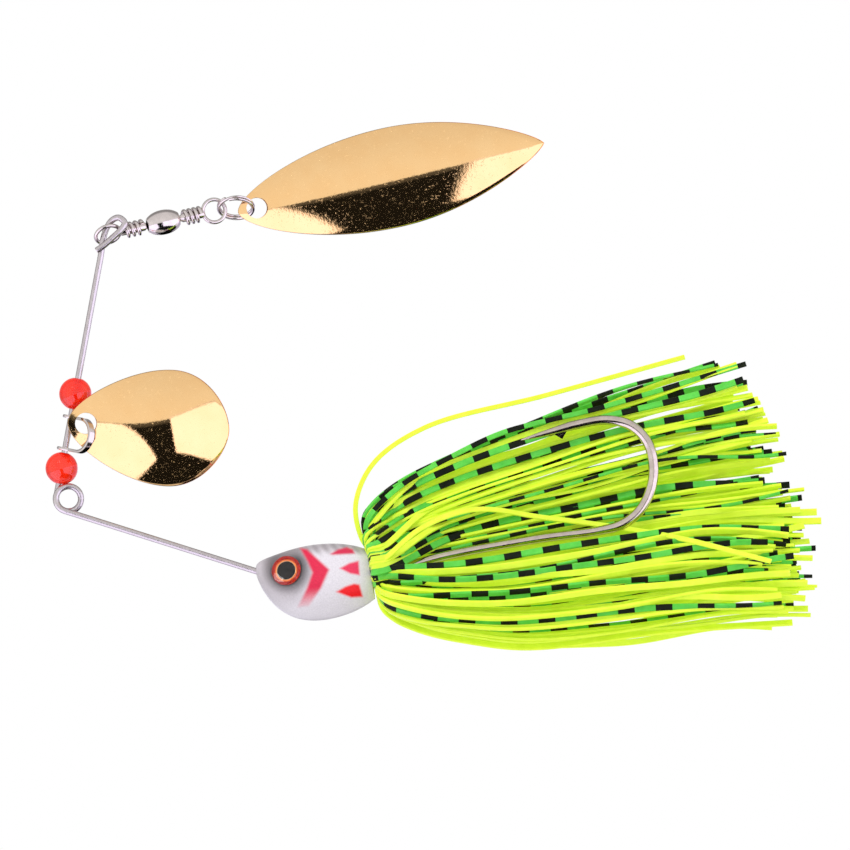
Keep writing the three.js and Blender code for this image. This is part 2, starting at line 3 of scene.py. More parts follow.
import bpy
import numpy as np
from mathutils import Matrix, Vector


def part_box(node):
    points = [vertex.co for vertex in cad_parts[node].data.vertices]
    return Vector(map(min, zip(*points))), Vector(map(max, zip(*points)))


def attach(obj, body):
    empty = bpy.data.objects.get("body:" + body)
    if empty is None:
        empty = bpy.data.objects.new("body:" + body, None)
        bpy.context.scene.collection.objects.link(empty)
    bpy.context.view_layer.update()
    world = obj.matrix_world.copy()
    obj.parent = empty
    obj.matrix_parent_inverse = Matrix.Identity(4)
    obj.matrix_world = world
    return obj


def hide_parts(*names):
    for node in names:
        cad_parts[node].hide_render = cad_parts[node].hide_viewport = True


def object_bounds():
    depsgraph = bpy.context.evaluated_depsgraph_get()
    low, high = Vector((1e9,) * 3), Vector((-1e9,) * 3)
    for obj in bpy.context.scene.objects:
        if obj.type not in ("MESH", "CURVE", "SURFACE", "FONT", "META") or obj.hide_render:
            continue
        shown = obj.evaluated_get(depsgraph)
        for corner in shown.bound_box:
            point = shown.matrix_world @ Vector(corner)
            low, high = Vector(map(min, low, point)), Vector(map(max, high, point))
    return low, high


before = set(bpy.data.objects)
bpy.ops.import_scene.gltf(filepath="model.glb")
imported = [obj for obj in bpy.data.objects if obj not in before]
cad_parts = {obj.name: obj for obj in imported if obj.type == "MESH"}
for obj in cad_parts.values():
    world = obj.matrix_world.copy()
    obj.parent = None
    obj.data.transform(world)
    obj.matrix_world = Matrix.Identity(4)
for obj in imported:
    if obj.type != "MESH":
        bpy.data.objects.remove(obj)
cad_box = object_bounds()

# Looks of a spinnerbait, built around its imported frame. Shapes are worked out in millimetres in
# the frame's own axes and written in metres.
MM = 0.001
rng = np.random.default_rng(41)

WIRE_RADIUS = 0.5
COIL_RADIUS = 2.0
COIL_PITCH = 1.16
LOWER_ARM_SLOPE = 17.5
UPPER_ARM_LEAN = 10.44
UPPER_ARM_LENGTH = 39.3
BEAD_RADIUS = 2.6
BEAD_BORE = 0.72
STRAP_THICKNESS = 0.5
BLADE_THICKNESS = 0.5
HEAD_LENGTH = 17.8
HEAD_HALF_HEIGHT = 6.0
HEAD_HALF_WIDTH = 4.9
HEAD_WIDEST = 9.5
HEAD_TAPER = 11.3
HEAD_DROP = 3.3
HEAD_DROP_REACH = 2.6
SHANK_SLOPE = 9.7
SHANK_DROP = 3.02
HOOK_RADIUS = 0.75
EYE_RADIUS = 2.4
SKIRT_DEPTH = 10.5
HOOK_LANE = 1.35
FLARE_END = 0.1
NOSE = np.array([30.0, 0.0, -11.8])


def vec(*values):
    return np.array(values, float)


def unit(v):
    return np.asarray(v, float) / np.linalg.norm(v)


def smooth(x, low, high):
    t = np.clip((np.asarray(x, float) - low) / (high - low), 0, 1)
    return t * t * (3 - 2 * t)


# ---- Curves and sweeps -----------------------------------------------------------------------


def spline(points, per=20):
    """A centripetal Catmull-Rom curve through the points, with `per` steps on each stretch."""
    p = np.asarray(points, float)
    p = np.vstack([2 * p[0] - p[1], p, 2 * p[-1] - p[-2]])
    out = []
    for i in range(1, len(p) - 2):
        p0, p1, p2, p3 = p[i - 1], p[i], p[i + 1], p[i + 2]
        d0, d1, d2 = (math.sqrt(np.linalg.norm(b - a)) for a, b in ((p0, p1), (p1, p2), (p2, p3)))
        m1 = ((p1 - p0) / d0 - (p2 - p0) / (d0 + d1) + (p2 - p1) / d1) * d1
        m2 = ((p2 - p1) / d1 - (p3 - p1) / (d1 + d2) + (p3 - p2) / d2) * d1
        last = i == len(p) - 3
        t = np.linspace(0, 1, per + 1)[: None if last else -1, None]
        out.append(
            (2 * t**3 - 3 * t**2 + 1) * p1 + (t**3 - 2 * t**2 + t) * m1
            + (3 * t**2 - 2 * t**3) * p2 + (t**3 - t**2) * m2
        )
    return np.vstack(out)


def lengths(points):
    return np.concatenate([[0], np.cumsum(np.linalg.norm(np.diff(points, axis=0), axis=1))])


def resample(points, count):
    along = lengths(points)
    wanted = np.linspace(0, along[-1], count)
    return np.stack([np.interp(wanted, along, points[:, k]) for k in range(points.shape[1])], axis=1)


def frames(points, normal=None):
    """Two normals along a curve that never turn about it."""
    tangents = np.gradient(points, axis=0)
    tangents /= np.linalg.norm(tangents, axis=1)[:, None]
    first = vec(0, 1, 0) if normal is None else np.asarray(normal, float)
    if abs(first @ tangents[0]) > 0.95:
        first = vec(0, 0, 1)
    n = unit(first - (first @ tangents[0]) * tangents[0])
    normals = [n]
    for t in tangents[1:]:
        n = unit(n - (n @ t) * t)
        normals.append(n)
    normals = np.array(normals)
    return normals, np.cross(tangents, normals)


def circle(sides):
    turn = np.linspace(0, 2 * np.pi, sides, endpoint=False)
    return np.stack([np.cos(turn), np.sin(turn)], axis=1)


def bands(starts, sides):
    """Quads between neighbouring rings of vertices, given where each ring starts."""
    return [(low + j, low + (j + 1) % sides, high + (j + 1) % sides, high + j)
            for low, high in zip(starts, starts[1:]) for j in range(sides)]


def sweep(points, section, scale=1.0, normal=None, twist=None, closed=False):
    """Carries a 2-D section along a curve. scale is one number, or one or two for each station."""
    points = np.asarray(points, float)
    count, sides = len(points), len(section)
    n, b = frames(points, normal)
    if np.ndim(scale) == 1:
        scale = np.asarray(scale, float).reshape(-1, 1)
    scale = np.broadcast_to(scale, (count, 2))
    turn = np.zeros(count) if twist is None else np.asarray(twist)
    u = section[None, :, 0] * scale[:, None, 0]
    v = section[None, :, 1] * scale[:, None, 1]
    cu = u * np.cos(turn)[:, None] - v * np.sin(turn)[:, None]
    cv = u * np.sin(turn)[:, None] + v * np.cos(turn)[:, None]
    verts = points[:, None, :] + cu[..., None] * n[:, None, :] + cv[..., None] * b[:, None, :]
    verts = verts.reshape(-1, 3)
    starts = [i * sides for i in range(count)]
    if closed:
        return verts, bands([*starts, 0], sides)
    ends = [tuple(range(sides - 1, -1, -1)), tuple(range((count - 1) * sides, count * sides))]
    return verts, bands(starts, sides) + ends


def lathe(profile, sides=64):
    """Turns (distance along X, radius) pairs about X. The profile closes on itself."""
    turn = np.linspace(0, 2 * np.pi, sides, endpoint=False)
    profile = np.asarray(profile, float)
    count = len(profile)
    verts = np.array([
        [along, radius * math.cos(t), radius * math.sin(t)] for t in turn for along, radius in profile
    ])
    return verts, bands([*range(0, sides * count, count), 0], count)


def joined(*shapes):
    verts, faces, offset = [], [], 0
    for v, f in shapes:
        verts.append(np.asarray(v))
        faces += [tuple(i + offset for i in face) for face in f]
        offset += len(v)
    return np.vstack(verts), faces


def rotation(axis, degrees):
    x, y, z = unit(axis)
    c, s = math.cos(math.radians(degrees)), math.sin(math.radians(degrees))
    return np.array([
        [c + x * x * (1 - c), x * y * (1 - c) - z * s, x * z * (1 - c) + y * s],
        [y * x * (1 - c) + z * s, c + y * y * (1 - c), y * z * (1 - c) - x * s],
        [z * x * (1 - c) - y * s, z * y * (1 - c) + x * s, c + z * z * (1 - c)],
    ])


def piece(name, shape, materials, body, nodes, face_slots=None):
    """Makes a mesh object from millimetre points and hands it to the frame."""
    verts, faces = shape
    mesh = bpy.data.meshes.new(name)
    mesh.from_pydata((np.asarray(verts) * MM).tolist(), [], [list(map(int, f)) for f in faces])
    mesh.validate()
    for material in materials if isinstance(materials, list) else [materials]:
        mesh.materials.append(material)
    if face_slots is not None:
        mesh.polygons.foreach_set("material_index", np.asarray(face_slots, np.int32))
    mesh.polygons.foreach_set("use_smooth", [True] * len(mesh.polygons))
    made = bpy.data.objects.new(name, mesh)
    bpy.context.scene.collection.objects.link(made)
    bpy.context.view_layer.objects.active = made
    bpy.ops.object.select_all(action="DESELECT")
    made.select_set(True)
    bpy.ops.object.mode_set(mode="EDIT")
    bpy.ops.mesh.select_all(action="SELECT")
    bpy.ops.mesh.normals_make_consistent(inside=False)
    bpy.ops.object.mode_set(mode="OBJECT")
    mesh.set_sharp_from_angle(angle=math.radians(38))
    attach(made, body)
    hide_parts(*nodes)
    return made


# ---- Materials -------------------------------------------------------------------------------


class Finish:
    """A Principled material with object-space noise helpers."""

    def __init__(self, name, color, roughness, metallic=0.0, **inputs):
        self.material = bpy.data.materials.new(name)
        self.material.use_nodes = True
        self.tree = self.material.node_tree
        self.shader = self.tree.nodes["Principled BSDF"]
        self.shader.inputs["Base Color"].default_value = (*color, 1)
        self.shader.inputs["Roughness"].default_value = roughness
        self.shader.inputs["Metallic"].default_value = metallic
        for key, value in inputs.items():
            self.shader.inputs[key.replace("_", " ")].default_value = value
        self.place = self.tree.nodes.new("ShaderNodeTexCoord").outputs["Object"]

    def link(self, a, b):
        self.tree.links.new(a, b)

    def stretched(self, scale, turn=(0, 0, 0)):
        mapping = self.tree.nodes.new("ShaderNodeMapping")
        mapping.inputs["Scale"].default_value = scale
        mapping.inputs["Rotation"].default_value = [math.radians(v) for v in turn]
        self.link(self.place, mapping.inputs["Vector"])
        return mapping.outputs["Vector"]

    def noise(self, scale, detail=3.0, rough=0.55, vector=None):
        node = self.tree.nodes.new("ShaderNodeTexNoise")
        node.inputs["Scale"].default_value = scale
        node.inputs["Detail"].default_value = detail
        node.inputs["Roughness"].default_value = rough
        self.link(self.place if vector is None else vector, node.inputs["Vector"])
        return node.outputs["Fac"]

    def ranged(self, value, low, high, to_low=0.0, to_high=1.0):
        node = self.tree.nodes.new("ShaderNodeMapRange")
        node.inputs["From Min"].default_value = low
        node.inputs["From Max"].default_value = high
        node.inputs["To Min"].default_value = to_low
        node.inputs["To Max"].default_value = to_high
        self.link(value, node.inputs["Value"])
        return node.outputs["Result"]

    def mixed(self, factor, a, b, mode="MIX"):
        node = self.tree.nodes.new("ShaderNodeMix")
        node.data_type = "RGBA"
        node.blend_type = mode
        for value, socket in ((factor, node.inputs[0]), (a, node.inputs[6]), (b, node.inputs[7])):
            if isinstance(value, (int, float)):
                socket.default_value = value
            elif isinstance(value, tuple):
                socket.default_value = (*value, 1)
            else:
                self.link(value, socket)
        return node.outputs[2]

    def base(self, color):
        self.link(color, self.shader.inputs["Base Color"])
        return self

    def rough(self, value):
        self.link(value, self.shader.inputs["Roughness"])
        return self

    def bump(self, height, distance, strength=1.0):
        node = self.tree.nodes.new("ShaderNodeBump")
        node.inputs["Strength"].default_value = strength
        node.inputs["Distance"].default_value = distance
        self.link(height, node.inputs["Height"])
        self.link(node.outputs["Normal"], self.shader.inputs["Normal"])
        return self

    def scratches(self, scale, turn):
        """Thin random lines: the crossing of a stretched noise with its middle value."""
        value = self.noise(scale, 2.0, 0.6, self.stretched((1, 14, 14), turn))
        return self.ranged(value, 0.70, 0.74)


def gold_plate():
    f = Finish("gold_plate", (1.0, 0.64, 0.30), 0.05, 1.0)
    patches = f.noise(260, 4.0)
    f.base(f.mixed(f.ranged(patches, 0.3, 0.7), (1.0, 0.65, 0.31), (0.98, 0.61, 0.275)))
    specks = f.ranged(f.noise(2400, 3.0, 0.75), 0.60, 0.72)
    lines = f.scratches(300, (20, 35, 50))
    wear = f.mixed(0.5, specks, lines, "ADD")
    f.rough(f.ranged(wear, 0.0, 1.0, 0.025, 0.22))
    f.link(f.ranged(wear, 0.0, 1.0, 0.995, 0.6), f.shader.inputs["Metallic"])
    return f.bump(f.mixed(0.5, f.noise(2600, 2.0, 0.6), wear, "ADD"), 0.000009, 0.4).material


def nickel(name, color, low=0.06, high=0.24):
    f = Finish(name, color, 0.12, 1.0)
    cloud = f.noise(700, 4.0)
    f.base(f.mixed(f.ranged(cloud, 0.35, 0.65), color, tuple(0.82 * c for c in color)))
    specks = f.noise(3200, 3.0, 0.7)
    f.rough(f.ranged(specks, 0.35, 0.75, low, high))
    return f.bump(specks, 0.000015, 0.35).material


def drawn_wire():
    f = Finish("drawn_wire", (0.62, 0.56, 0.57), 0.3, 1.0)
    lines = f.noise(900, 4.0, 0.7, f.stretched((6, 6, 0.6), (0, -10, 0)))
    f.base(f.mixed(f.ranged(lines, 0.3, 0.7), (0.50, 0.45, 0.46), (0.74, 0.68, 0.69)))
    f.rough(f.ranged(lines, 0.3, 0.7, 0.2, 0.36))
    return f.bump(lines, 0.00002, 0.4).material


def red_acrylic():
    f = Finish("red_acrylic", (0.95, 0.03, 0.006), 0.04, 0.0, Transmission_Weight=0.5, IOR=1.5,
               Coat_Weight=0.3)
    streaks = f.noise(500, 2.0, 0.5, f.stretched((1, 1, 0.25)))
    color = f.mixed(f.ranged(streaks, 0.35, 0.65), (1.0, 0.045, 0.010), (0.86, 0.012, 0.002))
    f.base(color)
    # the beads glow a little in their own colour: a painted glow that brightens them
    f.link(color, f.shader.inputs["Emission Color"])
    f.shader.inputs["Emission Strength"].default_value = 0.10
    return f.rough(f.ranged(f.noise(2500), 0.4, 0.8, 0.03, 0.10)).material


def head_paint():
    f = Finish("head_paint", (0.8, 0.8, 0.8), 0.32, 0.0, Coat_Weight=0.1, Coat_Roughness=0.12,
               Specular_IOR_Level=0.3)
    paint = f.tree.nodes.new("ShaderNodeAttribute")
    paint.attribute_name = "paint"
    spray = f.ranged(f.noise(4200, 2.0, 0.8), 0.3, 0.75, 0.86, 1.06)
    f.base(f.mixed(1.0, paint.outputs["Color"], spray, "MULTIPLY"))
    f.rough(f.ranged(f.noise(1800), 0.3, 0.7, 0.26, 0.4))
    return f.bump(f.noise(1500, 4.0, 0.6), 0.00003, 0.35).material


def eye_ring(name, color, second, roughness=0.3):
    f = Finish(name, color, roughness, 0.0, Specular_IOR_Level=0.08)
    f.base(f.mixed(f.ranged(f.noise(2400, 3.0), 0.35, 0.65), color, second))
    return f.rough(f.ranged(f.noise(4000), 0.3, 0.7, roughness - 0.08, roughness + 0.08)).material


def eye_resin():
    f = Finish("eye_resin", (1, 1, 1), 0.02, 0.0, Transmission_Weight=1.0, IOR=1.3)
    return f.rough(f.ranged(f.noise(1500), 0.4, 0.8, 0.01, 0.05)).material


def band_rubber():
    f = Finish("band_rubber", (0.02, 0.02, 0.02), 0.6)
    grain = f.noise(4000, 4.0)
    f.base(f.mixed(f.ranged(grain, 0.3, 0.7), (0.015, 0.015, 0.016), (0.045, 0.045, 0.045)))
    f.rough(f.ranged(grain, 0.3, 0.7, 0.5, 0.75))
    return f.bump(grain, 0.00004, 0.5).material


def silicone(name, light, deep, gloss=0.36, painted_glow=0.0, shine=0.5):
    """Soft rubber that glows a little in its own colour at all times, a painted glow that lifts its shade.
    """
    f = Finish(name, light, gloss, 0.0, Subsurface_Weight=0.35, Subsurface_Scale=0.0012,
               Specular_IOR_Level=shine)
    f.shader.inputs["Subsurface Radius"].default_value = (1.0, 1.0, 0.4)
    cloud = f.noise(420, 4.0, 0.6)
    color = f.mixed(f.ranged(cloud, 0.3, 0.7), light, deep)
    f.base(color)
    # the colour also glows as emission, a painted glow that brightens the shaded strands
    f.link(color, f.shader.inputs["Emission Color"])
    f.shader.inputs["Emission Strength"].default_value = painted_glow
    f.rough(f.ranged(f.noise(3000, 3.0), 0.3, 0.7, gloss - 0.08, gloss + 0.12))
    return f.bump(f.noise(2400, 3.0), 0.00003, 0.3).material


GOLD = gold_plate()
HOOK_NICKEL = nickel("hook_nickel", (0.70, 0.60, 0.54), 0.08, 0.2)
LINK_NICKEL = nickel("link_nickel", (0.78, 0.70, 0.68))
WIRE = drawn_wire()
BEAD_RED = red_acrylic()
PAINT = head_paint()
EYE_BLACK = eye_ring("eye_black", (0.006, 0.005, 0.006), (0.02, 0.016, 0.016))
EYE_ORANGE = eye_ring("eye_orange", (0.85, 0.13, 0.015), (0.92, 0.24, 0.05))
EYE_LINE = eye_ring("eye_line", (0.95, 0.50, 0.22), (0.95, 0.62, 0.34))
EYE_RED = eye_ring("eye_red", (0.36, 0.004, 0.003), (0.62, 0.02, 0.008))
RESIN = eye_resin()
BAND = band_rubber()
CHARTREUSE = silicone("silicone_chartreuse", (0.66, 0.84, 0.05), (0.58, 0.76, 0.03), painted_glow=0.20, shine=0.35)
GREEN = silicone("silicone_green", (0.11, 0.56, 0.07), (0.07, 0.44, 0.04), painted_glow=0.10, shine=0.35)
BAR_BLACK = silicone("silicone_black", (0.004, 0.006, 0.003), (0.010, 0.014, 0.008), 0.5, shine=0.12)

# ---- Wire arm --------------------------------------------------------------------------------

slope, lean = math.radians(LOWER_ARM_SLOPE), math.radians(UPPER_ARM_LEAN)
lower_way = vec(math.cos(slope), 0, -math.sin(slope))
upper_way = vec(math.sin(lean), 0, math.cos(lean))
coil_start = 270 - LOWER_ARM_SLOPE
coil_end = -180 - UPPER_ARM_LEAN


def on_coil(angle):
    turn = math.radians(angle)
    return vec(COIL_RADIUS * math.cos(turn), COIL_PITCH * (coil_start - angle) / 360,
               COIL_RADIUS * math.sin(turn))


def on_upper_arm(reach):
    return on_coil(coil_end) + reach * upper_way


def on_lower_arm(reach):
    return on_coil(coil_start) + reach * lower_way


EYE_BEND = [
    (0.26, 0, 2.0), (0.84, 0, 4.1), (1.75, -0.25, 5.5), (2.85, -0.65, 5.95), (3.85, -0.95, 5.1),
    (3.2, -1.1, 3.95), (2.1, -1.16, 2.9), (0.45, -1.16, 1.45), (-0.7, -1.16, 0.65),
]


def wire_arm():
    points = [on_lower_arm(reach) for reach in (36.0, 24.0, 14.0, 5.0, 1.6, 0.8)]
    points += [on_coil(a) for a in np.linspace(coil_start, coil_end, 31)]
    points += [on_upper_arm(reach) for reach in (0.8, 1.6, 8.0, 18.0, 28.0, 36.0, UPPER_ARM_LENGTH)]
    points += [on_upper_arm(UPPER_ARM_LENGTH) + vec(*bend) for bend in EYE_BEND]
    path = resample(spline(points), 760)
    radius = np.full(len(path), WIRE_RADIUS)
    radius[[0, -1]] *= 0.86
    piece("wire_arm", sweep(path, circle(18), radius), WIRE, "frame", ["wire_frame"])


# ---- Head ------------------------------------------------------------------------------------

head_turn = rotation((0, 1, 0), -SHANK_SLOPE)


def from_head(points):
    return np.asarray(points) @ head_turn.T + NOSE


def to_head(point):
    return (np.asarray(point) - NOSE) @ head_turn


def head_section(along):
    along = np.asarray(along, float)
    scale = np.where(along < HEAD_WIDEST, HEAD_WIDEST, HEAD_TAPER)
    size = np.sqrt(np.maximum(0, 1 - ((along - HEAD_WIDEST) / scale) ** 2))
    middle = -HEAD_DROP * (1 - np.exp(-along / HEAD_DROP_REACH))
    return middle, HEAD_HALF_HEIGHT * size, HEAD_HALF_WIDTH * size


EYE_ALONG = 4.85
EYE_UP = -0.35


def eye_seat(side):
    middle, high, wide = head_section(EYE_ALONG)
    depth = wide * math.sqrt(1 - ((EYE_UP - middle) / high) ** 2)
    return vec(EYE_ALONG, side * depth, EYE_UP), unit(vec(-0.24, side, 0.36))


PEARL = vec(0.70, 0.66, 0.72)
GREY = vec(0.085, 0.075, 0.08)
# painted shapes on the flanks, as outlines in the head's own (x, z), with their colours
CHEVRON = [(7.6, 2.75), (8.7, 2.35), (10.3, 0.4), (11.7, -1.4), (9.9, -4.1), (7.5, -6.6), (5.7, -6.5),
           (7.7, -3.7), (8.95, -1.4), (8.5, 0.4)]
MARKS = [
    ([(12.3, 1.0), (13.6, 1.5), (15.0, 1.6), (15.9, 1.1), (16.1, 0.4), (12.6, 0.8)], vec(0.62, 0.02, 0.075)),
    ([(13.4, -1.5), (15.0, -0.95), (16.5, -0.85), (16.3, -3.1), (14.9, -2.6)], vec(0.76, 0.035, 0.10)),
    ([(12.2, -5.1), (13.8, -4.5), (15.2, -4.3), (16.0, -4.6), (16.2, -6.6), (14.4, -6.4)],
     vec(0.84, 0.0, 0.004)),
]
PINK = vec(0.68, 0.0, 0.05)
BACK_STRIPES = 7
SOCKET_FLOOR = -0.42
SOCKET_EDGE = (2.5, 2.72)            # radii between which a socket's wall rises
SOCKET_REACH = 3.4                   # radius past which the flank is left alone
LIP_RADIUS, LIP_HEIGHT, LIP_WIDTH = 2.85, 0.10, 0.16
RIDGE_HEIGHT, RIDGE_WIDTH = 0.07, 0.22


def depth_inside(points, outline):
    """How far each point lies inside an outline; negative outside it."""
    corners = np.array(outline)
    nearest = np.full(len(points), np.inf)
    inside = np.zeros(len(points), bool)
    for a, b in zip(corners, np.roll(corners, -1, axis=0)):
        t = np.clip(((points - a) @ (b - a)) / ((b - a) @ (b - a)), 0, 1)
        nearest = np.minimum(nearest, np.linalg.norm(points - (a + t[:, None] * (b - a)), axis=1))
        level = (a[1] > points[:, 1]) != (b[1] > points[:, 1])
        with np.errstate(divide="ignore", invalid="ignore"):
            cross_x = a[0] + (points[:, 1] - a[1]) * (b[0] - a[0]) / (b[1] - a[1])
        inside ^= level & (points[:, 0] < cross_x)
    return np.where(inside, nearest, -nearest)


def paint_colors(spots):
    """Airbrushed colours of the head for points in its own frame."""
    flank = spots[:, [0, 2]]
    colors = np.tile(PEARL, (len(spots), 1))

    def lay(color, mask):
        colors[:] = colors + (color - colors) * np.clip(mask, 0, 1)[:, None]

    middle, high, _ = head_section(spots[:, 0])
    lift = (spots[:, 2] - middle) / np.maximum(high, 0.2)
    away = flank - vec(EYE_ALONG, EYE_UP)
    from_eye = np.hypot(away[:, 0], away[:, 1])
    leaning = (0.8 * away[:, 0] + 0.6 * away[:, 1]) / np.maximum(from_eye, 0.1)
    lay(vec(0.32, 0.28, 0.30), 0.62 * (1 - smooth(from_eye, 3.0, 7.0)) * (1 - smooth(spots[:, 0], 5.5, 9.0)))
    lay(GREY, (0.88 + 0.12 * leaning) * (1 - smooth(from_eye, 2.3, 4.9 + 0.7 * leaning)))
    lay(vec(0.33, 0.29, 0.31), 0.7 * smooth(lift, 0.70, 0.97) * smooth(spots[:, 0], 2.0, 6.0))
    stripes = 0.5 + 0.5 * np.sin(2 * np.pi * BACK_STRIPES * (spots[:, 0] + 0.5 * spots[:, 2] - 8) / 10)
    lay(vec(0.26, 0.23, 0.25), 0.6 * stripes * smooth(lift, 0.64, 0.90) * smooth(spots[:, 0], 7.5, 9.5))
    fade = 1 - 0.8 * smooth(-flank[:, 1], 3.6, 7.2)
    lay(PINK, 0.97 * fade * smooth(depth_inside(flank, CHEVRON), -0.30, 0.34))
    for outline, color in MARKS:
        lay(color, smooth(depth_inside(flank, outline), -0.26, 0.26))
    return colors


def head():
    stations, sides = 200, 260
    t = np.linspace(0, 1, stations)
    along = HEAD_LENGTH * (0.5 - 0.5 * np.cos(np.pi * t * 0.985)) / (0.5 - 0.5 * math.cos(np.pi * 0.985))
    along[0] = 0.004
    turn = np.linspace(0, 2 * np.pi, sides, endpoint=False)
    middle, high, wide = head_section(along)
    y = wide[:, None] * np.cos(turn)[None]
    z = middle[:, None] + high[:, None] * np.sin(turn)[None]
    x = np.broadcast_to(along[:, None], y.shape)
    spots = np.stack([x, y, z], axis=-1).reshape(-1, 3)
    # the mould's parting line, a low ridge round the middle plane
    ridge = RIDGE_HEIGHT * np.exp(-(spots[:, 1] / RIDGE_WIDTH) ** 2)
    spots[:, 2] += np.sign(spots[:, 2] - np.repeat(middle, sides)) * ridge
    # eye sockets, pressed in along the way each flank faces
    for side in (-1, 1):
        seat, normal = eye_seat(side)
        offset = spots - seat
        height = offset @ normal
        radial = np.linalg.norm(offset - height[:, None] * normal, axis=1)
        inside = (spots[:, 1] * side > 0) & (radial < SOCKET_REACH)
        press = (1 - smooth(radial, *SOCKET_EDGE)) * inside
        spots += ((SOCKET_FLOOR - height) * press)[:, None] * normal
        lip = LIP_HEIGHT * np.exp(-((radial - LIP_RADIUS) / LIP_WIDTH) ** 2) * inside
        spots += lip[:, None] * normal
    colors = paint_colors(spots)
    verts = from_head(spots)
    back = (stations - 1) * sides
    faces = bands(range(0, back + 1, sides), sides)
    faces.append(tuple(range(sides)))
    rim = spots[back:].copy()
    # rounded edge and flat back that runs into the collar
    rows = [(0.18, 0.985), (0.27, 0.95), (0.30, 0.90), (0.30, 0.72)]
    centre = vec(HEAD_LENGTH, 0, -SHANK_DROP)
    count = len(verts)
    extra = []
    for push, shrink in rows:
        row = centre + (rim - centre) * shrink
        row[:, 0] = HEAD_LENGTH + push
        extra.append(from_head(row))
    collar = [(0.30, 2.9), (0.42, 2.68), (0.7, 2.6), (4.2, 2.6), (4.5, 2.92), (4.9, 2.95), (5.5, 2.3),
              (5.6, 1.9)]
    for push, radius in collar:
        ring = np.stack([np.full(sides, HEAD_LENGTH + push), radius * np.cos(turn),
                         -SHANK_DROP + radius * np.sin(turn)], axis=1)
        extra.append(from_head(ring))
    verts = np.vstack([verts, *extra])
    colors = np.vstack([colors, np.tile(PEARL, (len(extra) * sides, 1))])
    starts = [back] + [count + i * sides for i in range(len(extra))]
    faces += bands(starts, sides)
    faces.append(tuple(starts[-1] + j for j in range(sides)))
    made = piece("head_casting", (verts, faces), PAINT, "frame", ["head"])
    layer = made.data.color_attributes.new("paint", "FLOAT_COLOR", "POINT")
    rgba = np.ones((len(verts), 4), np.float32)
    rgba[:, :3] = colors
    layer.data.foreach_set("color", rgba.ravel())


def dome(profile, sides=72):
    """A closed solid of revolution about Y from (radius, height) pairs that start and end on it."""
    turn = np.linspace(0, 2 * np.pi, sides, endpoint=False)
    rings = profile[1:-1]
    verts = [(0, profile[0][1], 0)]
    for radius, height in rings:
        verts += [(radius * math.cos(t), height, radius * math.sin(t)) for t in turn]
    verts.append((0, profile[-1][1], 0))
    faces = [(0, 1 + (j + 1) % sides, 1 + j) for j in range(sides)]
    starts = [1 + i * sides for i in range(len(rings))]
    faces += bands(starts, sides)
    low, top = starts[-1], len(verts) - 1
    faces += [(low + j, low + (j + 1) % sides, top) for j in range(sides)]
    return np.array(verts, float), faces


def on_seat(points, side):
    seat, normal = eye_seat(side)
    turn = np.array(Vector((0, 1, 0)).rotation_difference(Vector(normal)).to_matrix())
    return from_head(np.asarray(points) @ turn.T + seat)


PUPIL = 1.44
LINE_EDGE = 1.52
ORANGE_EDGE = 1.74
RED_EDGE = 2.27
# heights of the printed disc and of its dome over the seat
PRINT_FACE, PRINT_BACK = -0.34, -0.5
LENS_BACK, LENS_LIFT, LENS_RISE, LENS_TOP = -0.30, -0.12, 0.92, 0.80


def eyes():
    for name, side in (("left", 1), ("right", -1)):
        edges = (PUPIL, LINE_EDGE, ORANGE_EDGE, RED_EDGE)
        radii = [0.5, 1.0] + [r + step for r in edges for step in (0, 0.001)] + [EYE_RADIUS]
        profile = [(r, PRINT_FACE) for r in (0, *radii)] + [(r, PRINT_BACK) for r in (EYE_RADIUS, 1.2, 0)]
        verts, faces = dome(profile)
        face_slots = []
        for face in faces:
            radius = np.mean([math.hypot(verts[i][0], verts[i][2]) for i in face])
            ring = sum(radius > edge for edge in edges)
            face_slots.append(ring if ring < len(edges) else 0)
        inks = [EYE_BLACK, EYE_LINE, EYE_ORANGE, EYE_RED]
        piece(f"eye_print_{name}", (on_seat(verts, side), faces), inks, "frame", [f"eye_disc_{name}"],
              face_slots)
        rings = [(EYE_RADIUS * math.cos(a), LENS_LIFT + LENS_RISE * math.sin(a))
                 for a in np.linspace(0.02, 1.45, 14)]
        lens = [(r, LENS_BACK) for r in (0, EYE_RADIUS * 0.6, EYE_RADIUS)] + rings + [(0, LENS_TOP)]
        verts, faces = dome(lens)
        piece(f"eye_dome_{name}", (on_seat(verts, side), faces), RESIN, "frame",
              [f"eye_lens_{name}"])


# ---- Hook ------------------------------------------------------------------------------------

HOOK_TRACK = [
    (60.6, -9.05), (75.2, -6.4), (84.9, -5.1), (88.5, -4.1), (91.3, -1.9), (93.1, 1.6),
    (93.5, 5.5), (92.5, 9.1), (89.9, 11.7), (86.0, 12.6), (81.0, 11.8),
]
HOOK_TIP = (72.3, 9.4)
POINT_TAPER, POINT_POWER = 8.2, 0.62     # length of the ground point and how it fills out
BARB = [(76.5, 10.95), (78.95, 9.55), (79.9, 11.25)]


